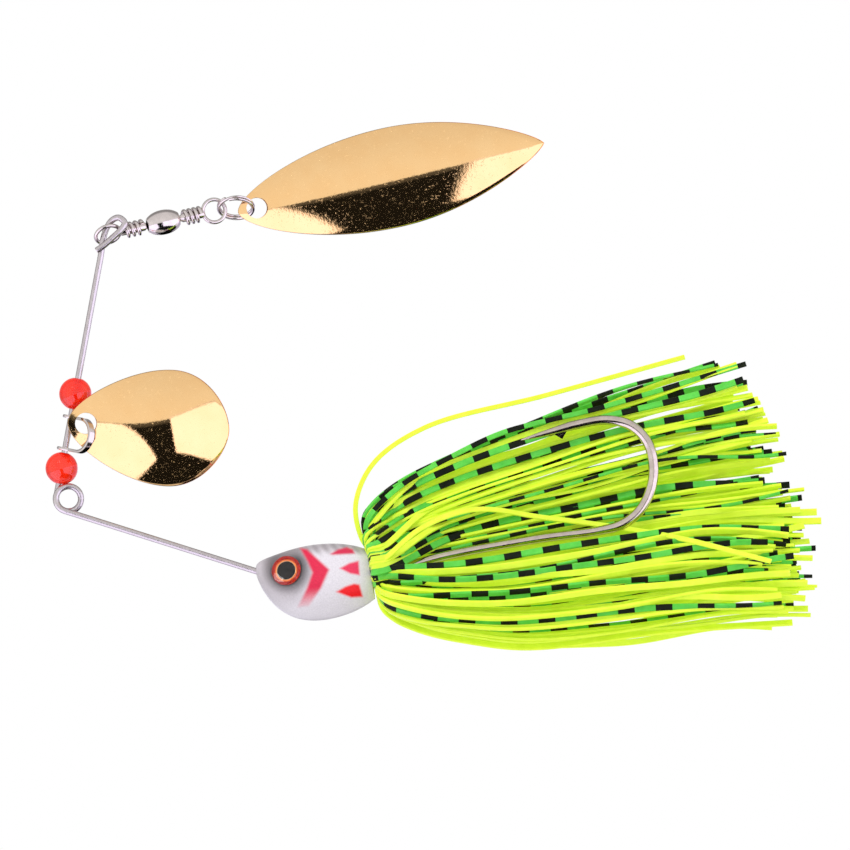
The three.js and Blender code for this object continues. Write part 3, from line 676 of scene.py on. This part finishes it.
def hook():
    start = [from_head(vec(along, 0, -SHANK_DROP)) for along in (19.0, 24.0)]
    points = start + [vec(x, 0, z) for x, z in HOOK_TRACK]
    tip = vec(HOOK_TIP[0], 0, HOOK_TIP[1])
    root = points[-1]
    points += [root + (tip - root) * f for f in (0.35, 0.7, 1.0)]
    path = resample(spline(points), 520)
    left = lengths(path)[-1] - lengths(path)
    radius = HOOK_RADIUS * np.clip(0.05 + 0.95 * (left / POINT_TAPER) ** POINT_POWER, 0.05, 1.0)
    # the bend is pressed a little flat, so it is deeper than it is wide
    bend = smooth(path[:, 0], 84, 89)
    scale = np.stack([radius * (1 - 0.13 * bend), radius * (1 + 0.09 * bend)], axis=1)
    body = sweep(path, circle(20), scale, normal=(0, 1, 0))
    barb = np.array([(x, y, z) for y in (-0.3, 0.3) for x, z in BARB])
    barb_faces = [(0, 1, 2), (5, 4, 3), (0, 3, 4, 1), (1, 4, 5, 2), (2, 5, 3, 0)]
    barb[[1, 4], 1] *= 0.35
    piece("hook_forging", joined(body, (barb, barb_faces)), HOOK_NICKEL, "frame", ["hook"])


# ---- Skirt -----------------------------------------------------------------------------------


def fan_curve(points):
    return resample(spline([(x, 0, z) for x, z in points], 30), 600)


FAN_TOP = fan_curve([
    (48.45, -7.95), (48.0, -6.3), (46.9, -4.2), (48.4, -1.1), (52.7, 2.6), (59.4, 6.1), (71.2, 10.8),
    (87.0, 16.3), (105.8, 22.0),
])
FAN_MIDDLE = fan_curve([(49.1, -11.65), (60.0, -10.5), (80.0, -7.5), (100.0, -4.5), (120.6, -3.0)])
FAN_BOTTOM = fan_curve([
    (49.72, -15.35), (49.8, -17.0), (51.6, -19.2), (56.7, -21.7), (64.7, -23.6), (72.5, -24.6),
    (87.2, -23.6), (107.0, -21.4), (117.5, -21.0),
])


COLLAR_DEPTH = 3.75                  # half the fan's depth where the strands leave the collar


def on_curve(curve, s):
    """Points at shares s of a curve's length, running straight on past its end."""
    place = np.clip(s, 0, 1) * (len(curve) - 1)
    index = np.arange(len(curve))
    spots = np.stack([np.interp(place, index, curve[:, k]) for k in range(3)], axis=1)
    beyond = np.maximum(0, s - 1) * (len(curve) - 1)
    return spots + beyond[:, None] * (curve[-1] - curve[-2])


def on_fan(s, spread, lift, side, lane):
    """The skirt's shared shape: s along the strands, spread outward, lift up and side toward the near
    side. lane is the side of the hook that a strand passes on, 1 for the near side and -1 for the far."""
    middle, top, bottom = (on_curve(c, s) for c in (FAN_MIDDLE, FAN_TOP, FAN_BOTTOM))
    edge = np.where((lift > 0)[:, None], top, bottom)
    ease = smooth(s, 0, FLARE_END)
    depth = COLLAR_DEPTH + (SKIRT_DEPTH - COLLAR_DEPTH - HOOK_LANE) * ease
    upright = lift**2 / np.maximum(lift**2 + side**2, 0.01)
    edge_x = upright * edge[:, 0] + (1 - upright) * 0.5 * (top[:, 0] + bottom[:, 0])
    x = middle[:, 0] + spread * (edge_x - middle[:, 0])
    y = -(lane * HOOK_LANE * ease + spread * side * depth)
    z = middle[:, 2] + spread * np.abs(lift) * (edge[:, 2] - middle[:, 2])
    return np.stack([x, y, z], axis=1)


STRAND_WIDTH = 1.02
STRAND_THICKNESS = 0.5
STRAND_LENGTH = 72.0
BAR_LENGTH = 2.8
BAR_PITCH = 6.3
STEP = 0.7
RIBBON = np.array([
    (0.5, 0.30), (0.40, 0.5), (-0.40, 0.5), (-0.5, 0.30), (-0.5, -0.30), (-0.40, -0.5), (0.40, -0.5),
    (0.5, -0.30),
]) * vec(STRAND_WIDTH, STRAND_THICKNESS)


CROSS_FROM, CROSS_TO = 0.03, 0.27
COLLAR_EXIT = 18.62
COLLAR_RADIUS = 3.1
COVER_RADIUS = 4.75                   # of the strands that lie over the band
INNER_EXIT = 22.1
INNER_RADIUS = 3.35


def collar_spot(along, radius, angle):
    turn = np.radians(angle)
    return np.stack([along, -radius * np.sin(turn), -SHANK_DROP + radius * np.cos(turn)], axis=-1)


def ribbon(path, facing, barred, waviness=0.5, width=1.0):
    """A strand along a path: its mesh and the material index of each of its faces."""
    count = len(path)
    s = np.linspace(0, 1, count)
    swing = waviness * rng.normal() * np.sin(2 * np.pi * (0.8 * s + rng.random())) * smooth(s, 0.08, 1.0)
    shape = sweep(path, RIBBON, np.full(count, width * rng.uniform(0.92, 1.08)), normal=facing,
                  twist=rng.uniform(-waviness, waviness) + swing)
    step = lengths(path)[-1] / (count - 1)
    phase = rng.uniform(0.3 * BAR_LENGTH, BAR_LENGTH) - lengths(path)[-1]     # a dark tip
    face_slots = []
    for i in range(count - 1):
        dark = barred and ((i * step + phase) % BAR_PITCH) < BAR_LENGTH
        face_slots += [2 if dark else 1 if barred else 0] * len(RIBBON)
    return shape, face_slots + [face_slots[0], face_slots[-1]]


def strand(spread, angle, reach, barred, inner=False, cover=False):
    """One ribbon of the fan. A cover strand leaves the near side of the collar and lies over the
    band; if it ends on the far side, it passes over the shank on its way."""
    from_s = 0.07 if inner else 0.0
    count = int(round(STRAND_LENGTH * (reach - from_s) / STEP)) + 1
    s = np.linspace(from_s, reach, count)
    start, end = np.radians(angle)
    turned = smooth(s, CROSS_FROM, CROSS_TO)
    lift = np.cos(start) + (np.cos(end) - np.cos(start)) * turned
    side = np.sin(start) + (np.sin(end) - np.sin(start)) * turned
    lanes = np.sign(np.sin([start, end]))
    lane = lanes[0] + (lanes[1] - lanes[0]) * turned
    path = on_fan(s, spread[0] + (spread[1] - spread[0]) * smooth(s, 0.1, 0.9), lift, side, lane)
    if inner:
        base = from_head(collar_spot(INNER_EXIT, INNER_RADIUS, angle[0]))
        hold = 1 - smooth(s, from_s, from_s + 0.10)
        path += hold[:, None] * (base - path)
    elif not cover:
        base = from_head(collar_spot(COLLAR_EXIT + 0.35 * rng.random(), COLLAR_RADIUS, angle[0]))
        hold = 1 - smooth(s, 0, 0.045)
        path += hold[:, None] * (base - path)
    # slow waves that grow toward the tips
    grow = smooth(s, 0.08, 1.0)
    for axis, size in ((2, 0.85), (1, 0.45)):
        wave = np.zeros(count)
        for cycles in (1.1, 2.3):
            wave += rng.normal() * np.sin(2 * np.pi * (cycles * s + rng.random())) / cycles
        path[:, axis] += size * grow * wave
    free = CROSS_TO if cover else from_s
    clear = HOOK_LANE * smooth(s, free, free + 0.12)
    path[:, 1] = np.where(s > free, -lanes[1] * np.maximum(-lanes[1] * path[:, 1], clear), path[:, 1])
    if cover:
        steep = smooth(spread[0] * math.cos(start), 0.35, 0.85)
        over = COVER_RADIUS + rng.uniform(0, 0.5)
        leave = COLLAR_EXIT - 0.1
        places = [(leave, COLLAR_RADIUS), (leave - 0.5 * steep, over),
                  (20.6 - 2.2 * steep, over + 1.2 * steep)]
        lead = [from_head(collar_spot(*place, angle[0])) for place in places]
        # Known fault: where the last of these samples is also the path's end, spline() divides by
        # zero and the strand is lost. That is so for six strands.
        path = spline([*lead, *path[s > 0.20][::10], path[-1]], 12)
    else:
        path = spline(path[::4], 6)
    path = resample(path, count)
    outward = from_head(vec(0, -math.sin(start), math.cos(start))) - from_head(vec(0, 0, 0))
    way = vec(1, 0, 0.17) if cover else path[1] - path[0]
    facing = unit(np.cross(way, outward))
    return ribbon(path, facing, barred)


def loose(points, barred, width=1.0):
    """A strand that lies on its own way through the given points."""
    path = spline(points, 30)
    path = resample(path, int(round(lengths(path)[-1] / STEP)) + 1)
    return ribbon(path, vec(0, 0, 1), barred, 0.3, width)


OUTER_TUFTS = 16
OPEN_FROM, OPEN_TO = 30, 110
INNER_TUFTS = 4
OUTER_STRANDS = 11
INNER_STRANDS = 12
COVER_STRANDS = 20
SIDE_STRANDS = 8
HIGH_FROM = 315                      # angle past which a strand of the far side counts as high up
HIGH_SPREAD, LOW_SPREAD = (0.48, 1.0), (0.42, 0.95)
INNER_FROM, INNER_ARC = 202, 136     # angles that the inner tufts take up


def is_barred(index, angle):
    """Barred are two strands in five at the top and on the near side, one in seven at the bottom and
    one in three on the far side."""
    if 150 < angle < 200:
        return index % 7 == 3
    return index % 5 in (1, 3) if angle < 150 else index % 3 == 1


def bundle(number, strands):
    shape = joined(*(item[0] for item in strands))
    face_slots = [slot for item in strands for slot in item[1]]
    name = f"{number:02d}"
    piece(f"skirt_strands_{name}", shape, [CHARTREUSE, GREEN, BAR_BLACK], "frame", [f"skirt_tuft_{name}"],
          face_slots)


def cover_strands():
    """Strands from the near side of the collar that pass over the shank to the far side."""
    made = []
    for k in range(COVER_STRANDS):
        share = (k + 0.5) / COVER_STRANDS
        start = 6 + 84 * share + rng.uniform(-2, 2)
        end = -8 - 54 * ((k * 7) % COVER_STRANDS) / COVER_STRANDS
        out = 0.92 - 0.55 * share + rng.uniform(-0.04, 0.04)
        made.append(strand((out, min(0.95, out + rng.uniform(-0.08, 0.10))), (start, end),
                           rng.uniform(0.93, 1.0), k % 3 == 1, cover=True))
    return made


def side_strands():
    """Strands from the near side of the collar that run just below the shank."""
    made = []
    for k in range(SIDE_STRANDS):
        share = (k + 0.5) / SIDE_STRANDS
        out = rng.uniform(0.35, 0.75)
        made.append(strand((out, out), (86 + 34 * share, 94 + 36 * share), rng.uniform(0.94, 1.0),
                           k % 3 == 0, cover=True))
    return made


def loose_strands():
    """The high stray strand, a barred one over the top and one that falls across the hook."""
    stray = [(48.3, 0.6, -8.1), (47.0, 0.8, -6.6), (45.9, 1.0, -1.0), (48.7, 1.4, 5.6), (57.0, 2.0, 11.4),
             (76.5, 2.6, 16.6), (98.6, 3.0, 22.7)]
    over = [(48.6, -0.8, -8.2), (47.6, -0.6, -4.0), (52.5, 0.4, 1.6), (62.5, 1.4, 7.4), (69.5, 1.8, 10.6),
            (77.0, 2.0, 12.6), (84.5, 2.2, 14.4), (108.4, 2.6, 21.6)]
    across = [(48.7, -3.4, -10.4), (50.4, -4.8, -9.6), (56.5, -4.0, -4.6), (64.8, -2.6, -1.7),
              (76.0, 0.6, -3.0), (86.5, 1.3, -4.4), (98.4, -7.4, -6.4), (111.8, -10.8, -9.8)]
    return [loose(stray, False, 0.8), loose(over, True, 0.85), loose(across, False, 0.9)]


def skirt():
    number = 0
    step = 360 / OUTER_TUFTS
    cover, side = cover_strands(), side_strands()
    for i in range(OUTER_TUFTS):
        middle = (i + 0.5) * step
        if OPEN_FROM < middle < OPEN_TO:
            continue
        number += 1
        strands = []
        near_top = middle < OPEN_FROM
        for k in range(OUTER_STRANDS):
            angle = middle + step * ((k + 0.5) / OUTER_STRANDS - 0.5) + rng.uniform(-1.2, 1.2)
            high_up = near_top or angle > HIGH_FROM
            low, high = HIGH_SPREAD if high_up else LOW_SPREAD
            out = low + (high - low) * ((k * 3) % OUTER_STRANDS) / (OUTER_STRANDS - 1)
            end = out + rng.uniform(-0.06, 0.04) + (0.03 if high_up else 0)
            end_angle = angle + rng.uniform(-8, 8)
            if near_top:
                end_angle = -angle - 2
            elif (angle < 180) != (end_angle < 180) or end_angle > 357:
                end_angle = angle
            longer = 0.05 if high_up else 0.02
            strands.append(strand((out, end), (angle, end_angle), rng.uniform(0.93, 1.0) + longer,
                                  is_barred(k + number, angle)))
        if number == 1:
            strands += cover
        if number == 2:
            strands += side
        if number == 12:
            strands += loose_strands()
        bundle(number, strands)
    for i in range(INNER_TUFTS):
        number += 1
        middle = INNER_FROM + (i + 0.5) * (INNER_ARC / INNER_TUFTS)
        strands = []
        for k in range(INNER_STRANDS):
            angle = middle + INNER_ARC / INNER_TUFTS * ((k + 0.5) / INNER_STRANDS - 0.5)
            out = 0.10 + 0.46 * ((k * 5) % INNER_STRANDS) / (INNER_STRANDS - 1)
            strands.append(strand((out, out + rng.uniform(-0.05, 0.05)), (angle, angle + rng.uniform(-8, 8)),
                                  rng.uniform(0.94, 1.01), is_barred(k, angle), inner=True))
        bundle(number, strands)


def skirt_band():
    low, high = (np.array(v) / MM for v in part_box("skirt_band"))
    centre = to_head((low + high) / 2)
    profile = [(centre[0] + 0.9 * math.cos(a), 3.65 + 0.7 * math.sin(a)) for a in
               np.linspace(0, 2 * np.pi, 28, endpoint=False)]
    verts, faces = lathe(profile, 72)
    verts[:, 2] -= SHANK_DROP
    piece("band_ring", (from_head(verts), faces), BAND, "frame", ["skirt_band"])


# ---- Beads and clevis ------------------------------------------------------------------------

arm_turn = rotation((0, 1, 0), UPPER_ARM_LEAN - 90)


def on_arm(points, centre):
    return np.asarray(points) @ arm_turn.T + centre


def arm_centre(node):
    low, high = (np.array(v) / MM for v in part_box(node))
    reach = ((low + high) / 2 - on_coil(coil_end)) @ upper_way
    return on_upper_arm(reach)


def beads():
    bore = math.acos(BEAD_BORE / BEAD_RADIUS)
    outside = [(BEAD_RADIUS * math.sin(a), BEAD_RADIUS * math.cos(a)) for a in np.linspace(-bore, bore, 44)]
    half = outside[-1][0]
    inside = [(x, BEAD_BORE) for x in np.linspace(half, -half, 10)[1:-1]]
    for name in ("lower", "upper"):
        verts, faces = lathe(outside + inside, 64)
        piece(f"bead_{name}", (on_arm(verts, arm_centre(f"{name}_bead")), faces), BEAD_RED, f"{name}_bead",
              [f"{name}_bead"])


CLEVIS_REACH = 10.32
CLEVIS_TURN = -48.6
CLEVIS_PAD_HEIGHT = 2.6
CLEVIS_BOW_CENTRE = 3.26
STRAP_WIDTH = 1.1
PAD_RADIUS = 1.35


def clevis():
    """A folded strap with a round pad at each end, in local X along the arm and -Z outward."""
    rows = []
    start = PAD_RADIUS
    for t in np.linspace(-start * 0.999, 0, 15)[:-1]:
        rows.append((t, -CLEVIS_PAD_HEIGHT))
    for t in np.linspace(0, CLEVIS_BOW_CENTRE, 13)[:-1]:
        rows.append((t, -CLEVIS_PAD_HEIGHT))
    for a in np.linspace(-math.pi / 2, math.pi / 2, 49):
        rows.append((CLEVIS_BOW_CENTRE + CLEVIS_PAD_HEIGHT * math.cos(a), CLEVIS_PAD_HEIGHT * math.sin(a)))
    for t in np.linspace(CLEVIS_BOW_CENTRE, 0, 13)[1:]:
        rows.append((t, CLEVIS_PAD_HEIGHT))
    for t in np.linspace(0, -start * 0.999, 15)[1:]:
        rows.append((t, CLEVIS_PAD_HEIGHT))
    rows = np.array(rows)
    tangent = np.gradient(rows, axis=0)
    tangent /= np.linalg.norm(tangent, axis=1)[:, None]
    normal = np.stack([-tangent[:, 1], tangent[:, 0]], axis=1)
    # half-width of the strap: round at the pads, then narrow
    reach = np.abs(rows[:, 0])
    flat = np.abs(np.abs(rows[:, 1]) - CLEVIS_PAD_HEIGHT) < 1e-6
    pad = np.sqrt(np.maximum(PAD_RADIUS**2 - np.where(flat, rows[:, 0], 9) ** 2, 0.0))
    pad = np.where(flat & (reach < PAD_RADIUS), pad, 0)
    in_pad = rows[:, 0] < 0.2
    width = np.where(flat & in_pad, np.maximum(pad, 0.12), np.maximum(pad, STRAP_WIDTH / 2))
    section = np.array([(1, 0.24), (0.9, 0.5), (-0.9, 0.5), (-1, 0.24),
                        (-1, -0.24), (-0.9, -0.5), (0.9, -0.5), (1, -0.24)])
    verts = []
    for spot, out, half in zip(rows, normal, width):
        for u, v in section:
            where = spot + out * v * STRAP_THICKNESS
            verts.append((where[1], -u * half, -where[0]))
    sides, count = len(section), len(rows)
    faces = bands(range(0, count * sides, sides), sides)
    faces += [tuple(range(sides)), tuple((count - 1) * sides + j for j in range(sides))]
    turn = rotation((1, 0, 0), CLEVIS_TURN)
    placed = on_arm(np.array(verts) @ turn.T, on_upper_arm(CLEVIS_REACH))
    made = piece("clevis_strap", (placed, faces), LINK_NICKEL, "clevis", ["clevis"])
    # Known fault: this cut leaves the pads closed, so the arm passes through them.
    drill_verts, drill_faces = lathe([(-4, 0.001), (-4, BEAD_BORE), (4, BEAD_BORE), (4, 0.001)], 40)
    mesh = bpy.data.meshes.new("drill")
    mesh.from_pydata((on_arm(drill_verts, on_upper_arm(CLEVIS_REACH)) * MM).tolist(), [], drill_faces)
    drill = bpy.data.objects.new("drill", mesh)
    bpy.context.scene.collection.objects.link(drill)
    cut = made.modifiers.new("bore", "BOOLEAN")
    cut.operation, cut.object, cut.solver = "DIFFERENCE", drill, "EXACT"
    bpy.context.view_layer.objects.active = made
    bpy.ops.object.modifier_apply(modifier=cut.name)
    bpy.data.objects.remove(drill)


# ---- Blades ----------------------------------------------------------------------------------

COLORADO = dict(
    length=25.9, half_width=9.35, hole_reach=2.85, hole_radius=1.7, skew=1.5, bluntness=0.38,
    sharpness=0.55, depth=2.6, fullness=2.2, hole=(2.8, -1.05, 12.1), slope=-3.4, lean=5.6, yaw=7.3,
)
WILLOW = dict(
    length=50.3, half_width=8.05, hole_reach=3.05, hole_radius=1.65, skew=1.0, bluntness=0.6,
    sharpness=0.75, depth=1.9, fullness=1.5, hole=(30.0, 5.25, 46.6), slope=12.8, lean=0, yaw=0,
)
RIM_SHARE = 0.04                 # the part of a blade's width over which its face rolls off
RIM_DROP = 0.13


def blade_points(shape, rings, stacks):
    def half_width(x):
        t = np.clip(x / shape["length"], 0, 1) ** shape["skew"]
        power = np.where(t < 0.5, shape["bluntness"], shape["sharpness"])
        return shape["half_width"] * np.maximum(np.sin(np.pi * t), 0) ** power

    def rise(x, y):
        width = np.maximum(half_width(x), 1e-3)
        lift = (width / shape["half_width"]) ** shape["fullness"]
        return shape["depth"] * lift * (1 - np.minimum(1, (y / width) ** 2))

    # stations crowd toward the pierced end and the tip, where the outline turns fastest
    share = np.linspace(0, 1, stacks, endpoint=False)
    turn = 2 * np.pi * share
    out_x = shape["length"] * (1 - np.cos(turn)) / 2
    out_y = np.sign(np.sin(turn)) * half_width(out_x)
    hole_x = shape["hole_reach"] - shape["hole_radius"] * np.cos(turn)
    hole_y = shape["hole_radius"] * np.sin(turn)
    rows = []
    half = BLADE_THICKNESS / 2
    round_off = [(0.01, -half * 0.3), (0.035, 0.0), (0.01, half * 0.3)]

    def row(outward, height, push):
        x = hole_x + (out_x - hole_x) * outward
        y = hole_y + (out_y - hole_y) * outward
        away = np.stack([out_x - hole_x, out_y - hole_y], axis=1)
        away /= np.linalg.norm(away, axis=1)[:, None]
        edge = np.clip((outward - 1 + RIM_SHARE) / RIM_SHARE, 0, 1) ** 2
        z = rise(x, y) + height - np.sign(height) * RIM_DROP * edge
        return np.stack([x + push * away[:, 0], y + push * away[:, 1], z], axis=1)

    steps = np.concatenate([np.linspace(0, 1 - RIM_SHARE, rings), np.linspace(1 - RIM_SHARE, 1, 8)[1:]])
    inset = 0.004
    for outward in steps:
        rows.append(row(inset + (1 - 2 * inset) * outward, half, 0))
    rows += [row(1.0, height, push) for push, height in reversed(round_off)]
    for outward in steps[::-1]:
        rows.append(row(inset + (1 - 2 * inset) * outward, -half, 0))
    rows += [row(0.0, height, -push) for push, height in round_off]
    return np.array(rows)


def blade(name, shape, body):
    rows = blade_points(shape, 40, 288)
    count, stacks = rows.shape[:2]
    verts = rows.reshape(-1, 3) - vec(shape["hole_reach"], 0, 0)
    turn = rotation((0, 0, 1), shape["yaw"]) @ rotation((0, 1, 0), -shape["slope"])
    turn = turn @ rotation((1, 0, 0), 90 + shape["lean"])
    faces = bands([*range(0, count * stacks, stacks), 0], stacks)
    piece(f"{name}_plate", (verts @ turn.T + vec(*shape["hole"]), faces), GOLD, body, [name])


# ---- Swivel and split ring -------------------------------------------------------------------

SWIVEL_SLOPE = 12.6
SWIVEL_YAW = 12
SWIVEL_ORIGIN = vec(6.25, 1.65, 42.3)
EYE_RING_RADIUS = 2.0
EYE_RING_TURN = 48
LINK_WIRE = 0.32
OUTER_RING_RADIUS = 1.83
OUTER_RING_REACH = 17.7
BARREL_REACH = 9.2
KNOB_INSET = 0.9                     # from the barrel's middle to the head of each stem
swivel_turn = rotation((0, 0, 1), SWIVEL_YAW) @ rotation((0, 1, 0), -SWIVEL_SLOPE)


def leaning(degrees):
    """The vertical, turned about X toward the near side."""
    tilt = math.radians(degrees)
    return vec(0, -math.sin(tilt), math.cos(tilt))


def swivel_eye(name, radius, ring_turn, wrap_from, wrap_to, wrap_radius, knob, flip, body):
    """Ring, helical wraps, stem and the stem's head, as one bent wire and its turned end."""
    across = leaning(ring_turn)
    ring = np.array([radius * (math.cos(a) * vec(1, 0, 0) + math.sin(a) * across)
                     for a in np.linspace(0, 2 * np.pi, 97)[:-1]])
    parts = [sweep(ring, circle(14), LINK_WIRE, closed=True)]
    turns = 3.4
    t = np.linspace(0, 1, 220)
    helix_radius = wrap_radius - LINK_WIRE
    helix = np.stack([
        wrap_from + LINK_WIRE + (wrap_to - wrap_from - 2 * LINK_WIRE) * t,
        helix_radius * np.cos(2 * np.pi * turns * t),
        helix_radius * np.sin(2 * np.pi * turns * t),
    ], axis=1)
    parts.append(sweep(helix, circle(12), LINK_WIRE))
    stem = [(radius - 0.1, 0.001), (radius - 0.1, 0.55), (wrap_from, 0.72), (wrap_to, 0.72),
            (wrap_to + 0.3, 0.5), (knob - 0.4, 0.5), (knob - 0.4, 1.0), (knob + 0.3, 1.05),
            (knob + 0.4, 0.9), (knob + 0.4, 0.001)]
    parts.append(lathe(stem, 40))
    verts, faces = joined(*parts)
    if flip:
        verts = verts * vec(-1, -1, 1) + vec(OUTER_RING_REACH, 0, 0)
    piece(name, (verts @ swivel_turn.T + SWIVEL_ORIGIN, faces), LINK_NICKEL, body,
          [f"swivel_eye_{'outer' if flip else 'inner'}"])


BARREL_HALF_LENGTH = 2.6
BARREL_RADIUS = 2.0
BARREL_CURVE = 3.1
BARREL_BORE = 0.85


def barrel():
    """An egg cut off at both ends, bored for the two stems."""
    along = np.linspace(-BARREL_HALF_LENGTH, BARREL_HALF_LENGTH, 41)
    outside = [(x, BARREL_RADIUS * math.sqrt(1 - (x / BARREL_CURVE) ** 2)) for x in along]
    mouth = (BARREL_HALF_LENGTH, BARREL_BORE)
    inside = [(1.9, BARREL_BORE), (1.7, 1.35), (-1.7, 1.35), (-1.9, BARREL_BORE)]
    back = (-BARREL_HALF_LENGTH, BARREL_BORE)
    verts, faces = lathe([*outside, mouth, *inside, back], 80)
    verts[:, 0] += BARREL_REACH
    piece("barrel_shell", (verts @ swivel_turn.T + SWIVEL_ORIGIN, faces), LINK_NICKEL, "swivel_barrel",
          ["swivel_barrel"])


SPLIT_RING_CENTRE = vec(26.65, 5.25, 46.7)
SPLIT_RING_RADIUS = 2.75
SPLIT_RING_TURN = 57


def split_ring():
    """Two touching turns of half-flat wire, with a short step between them."""
    across = leaning(SPLIT_RING_TURN)
    axis = np.cross(vec(1, 0, 0), across)
    t = np.linspace(0, 1, 260)
    turn = 2 * np.pi * (1.96 * t) + 2.2
    step = 0.24 * (2 * smooth(t, 0.42, 0.58) - 1)
    path = (SPLIT_RING_RADIUS * (np.cos(turn)[:, None] * vec(1, 0, 0) + np.sin(turn)[:, None] * across)
            + step[:, None] * axis + SPLIT_RING_CENTRE)
    shape = sweep(path, circle(12), np.tile([0.215, 0.30], (len(path), 1)), normal=axis)
    piece("split_ring_coil", shape, LINK_NICKEL, "split_ring", ["split_ring"])


# ---- Stage, light and camera -----------------------------------------------------------------

VIEW_CENTRE = vec(57.0, 1.5, 11.8)
VIEW_WIDTH = 136.0
VIEW_DISTANCE = 1200.0


def camera():
    data = bpy.data.cameras.new("camera")
    data.sensor_width = 36
    data.lens = 36 * VIEW_DISTANCE / VIEW_WIDTH
    data.clip_end = 20
    made = bpy.data.objects.new("camera", data)
    made.location = (VIEW_CENTRE - vec(0, VIEW_DISTANCE, 0)) * MM
    made.rotation_euler = (math.pi / 2, 0, 0)
    bpy.context.scene.collection.objects.link(made)
    bpy.context.scene.camera = made


FLOOR_DROP = 0.26


def floor():
    mesh = bpy.data.meshes.new("floor")
    size = 3.0
    z = cad_box[0][2] - FLOOR_DROP
    corners = [(-size, -size, z), (size, -size, z), (size, size, z), (-size, size, z)]
    mesh.from_pydata(corners, [], [(0, 1, 2, 3)])
    f = Finish("floor_pale", (0.9, 0.9, 0.9), 0.9)
    f.base(f.mixed(f.ranged(f.noise(6), 0.3, 0.7), (0.90, 0.90, 0.90), (0.93, 0.93, 0.93)))
    mesh.materials.append(f.material)
    made = bpy.data.objects.new("floor", mesh)
    bpy.context.scene.collection.objects.link(made)
    made.visible_glossy = False


BOX_GAIN = 1.6
BEHIND_DIMMING = 0.6
BOX_TINT = (1, 0.95, 1.16, 1)


def studio():
    """Even white light. Mirrors see a wide panel above, a box on each side and a dark gap between."""
    world = bpy.data.worlds.new("studio")
    bpy.context.scene.world = world
    world.use_nodes = True
    tree = world.node_tree
    nodes, links = tree.nodes, tree.links
    background = nodes["Background"]
    way = nodes.new("ShaderNodeTexCoord").outputs["Generated"]
    split = nodes.new("ShaderNodeSeparateXYZ")
    links.new(way, split.inputs[0])

    def ramp(value, low, high, to_low=0.0, to_high=1.0):
        node = nodes.new("ShaderNodeMapRange")
        node.interpolation_type = "SMOOTHSTEP"
        for key, number in (("From Min", low), ("From Max", high), ("To Min", to_low), ("To Max", to_high)):
            node.inputs[key].default_value = number
        links.new(value, node.inputs["Value"])
        return node.outputs["Result"]

    def math_node(operation, a, b=None):
        node = nodes.new("ShaderNodeMath")
        node.operation = operation
        for socket, value in zip(node.inputs, (a, b)):
            if isinstance(value, (int, float)):
                socket.default_value = value
            elif value is not None:
                links.new(value, socket)
        return node.outputs[0]

    def product(first, *others):
        for other in others:
            first = math_node("MULTIPLY", first, other)
        return first

    def brightest(first, *others):
        for other in others:
            first = math_node("MAXIMUM", first, other)
        return first

    def slanted(value, share):
        """value with a share of the height added, for a zone whose edge leans."""
        return math_node("ADD", value, math_node("MULTIPLY", z, share))

    x, y, z = split.outputs
    height = math_node("SUBTRACT", z, math_node("MULTIPLY", x, 0.35))
    panel = product(ramp(height, -0.07, -0.035), ramp(z, 0.0, 1.0, 0.96, 0.79))
    right_top = math_node("SUBTRACT", z, math_node("MULTIPLY", x, 0.31))
    right = product(
        ramp(slanted(x, 0.17), 0.185, 0.215), ramp(z, -0.60, -0.56), ramp(right_top, -0.06, 0.02, 1.0, 0.0))
    left = product(
        ramp(slanted(x, 0.38), -0.265, -0.235, 1.0, 0.0), ramp(slanted(x, -0.7), 0.475, 0.505, 1.0, 0.0),
        ramp(height, -0.07, -0.035, 1.0, 0.0))
    below = ramp(z, -0.97, -0.93, 0.8, 0.0)
    step = ramp(height, -0.15, -0.09, 0.008, 0.09)
    boxes = brightest(right, left)
    zones = brightest(panel, product(boxes, BOX_GAIN), below, step)
    # a dim ring behind the object gives round metal its dark edges
    behind = product(ramp(y, 0.0, 0.4), ramp(y, 0.88, 0.96, 1.0, 0.0))
    mirror = product(zones, math_node("SUBTRACT", 1.0, product(behind, BEHIND_DIMMING)))
    glossy = nodes.new("ShaderNodeLightPath").outputs["Is Glossy Ray"]
    plain = math_node("SUBTRACT", 1.0, glossy)
    strength = math_node("ADD", math_node("MULTIPLY", glossy, mirror), plain)
    tint = nodes.new("ShaderNodeMix")
    tint.data_type = "RGBA"
    tint.inputs["A"].default_value = (1, 1, 1, 1)
    tint.inputs["B"].default_value = BOX_TINT
    links.new(product(boxes, glossy), tint.inputs["Factor"])
    links.new(tint.outputs["Result"], background.inputs["Color"])
    links.new(strength, background.inputs["Strength"])


def key_light():
    data = bpy.data.lights.new("key", "AREA")
    data.shape = "DISK"
    data.size = 0.35
    data.energy = 3.0
    made = bpy.data.objects.new("key", data)
    target = Vector(VIEW_CENTRE * MM)
    made.location = target + Vector((-0.25, -0.55, 0.60))
    made.rotation_euler = (target - made.location).to_track_quat("-Z", "Y").to_euler()
    made.visible_glossy = False
    made.visible_camera = False
    bpy.context.scene.collection.objects.link(made)


camera()
floor()
studio()
key_light()
bpy.context.scene.view_settings.view_transform = "Standard"

wire_arm()
head()
eyes()
hook()
skirt()
skirt_band()
beads()
clevis()
blade("colorado_blade", COLORADO, "colorado_blade")
blade("willow_blade", WILLOW, "willow_blade")
swivel_eye("swivel_ring_inner", EYE_RING_RADIUS, EYE_RING_TURN, 2.3, 6.05, 1.3,
           BARREL_REACH - KNOB_INSET, False, "swivel_inner")
swivel_eye("swivel_ring_outer", OUTER_RING_RADIUS, 0, 1.95, 5.3, 1.35,
           OUTER_RING_REACH - BARREL_REACH - KNOB_INSET, True, "swivel_outer")
barrel()
split_ring()
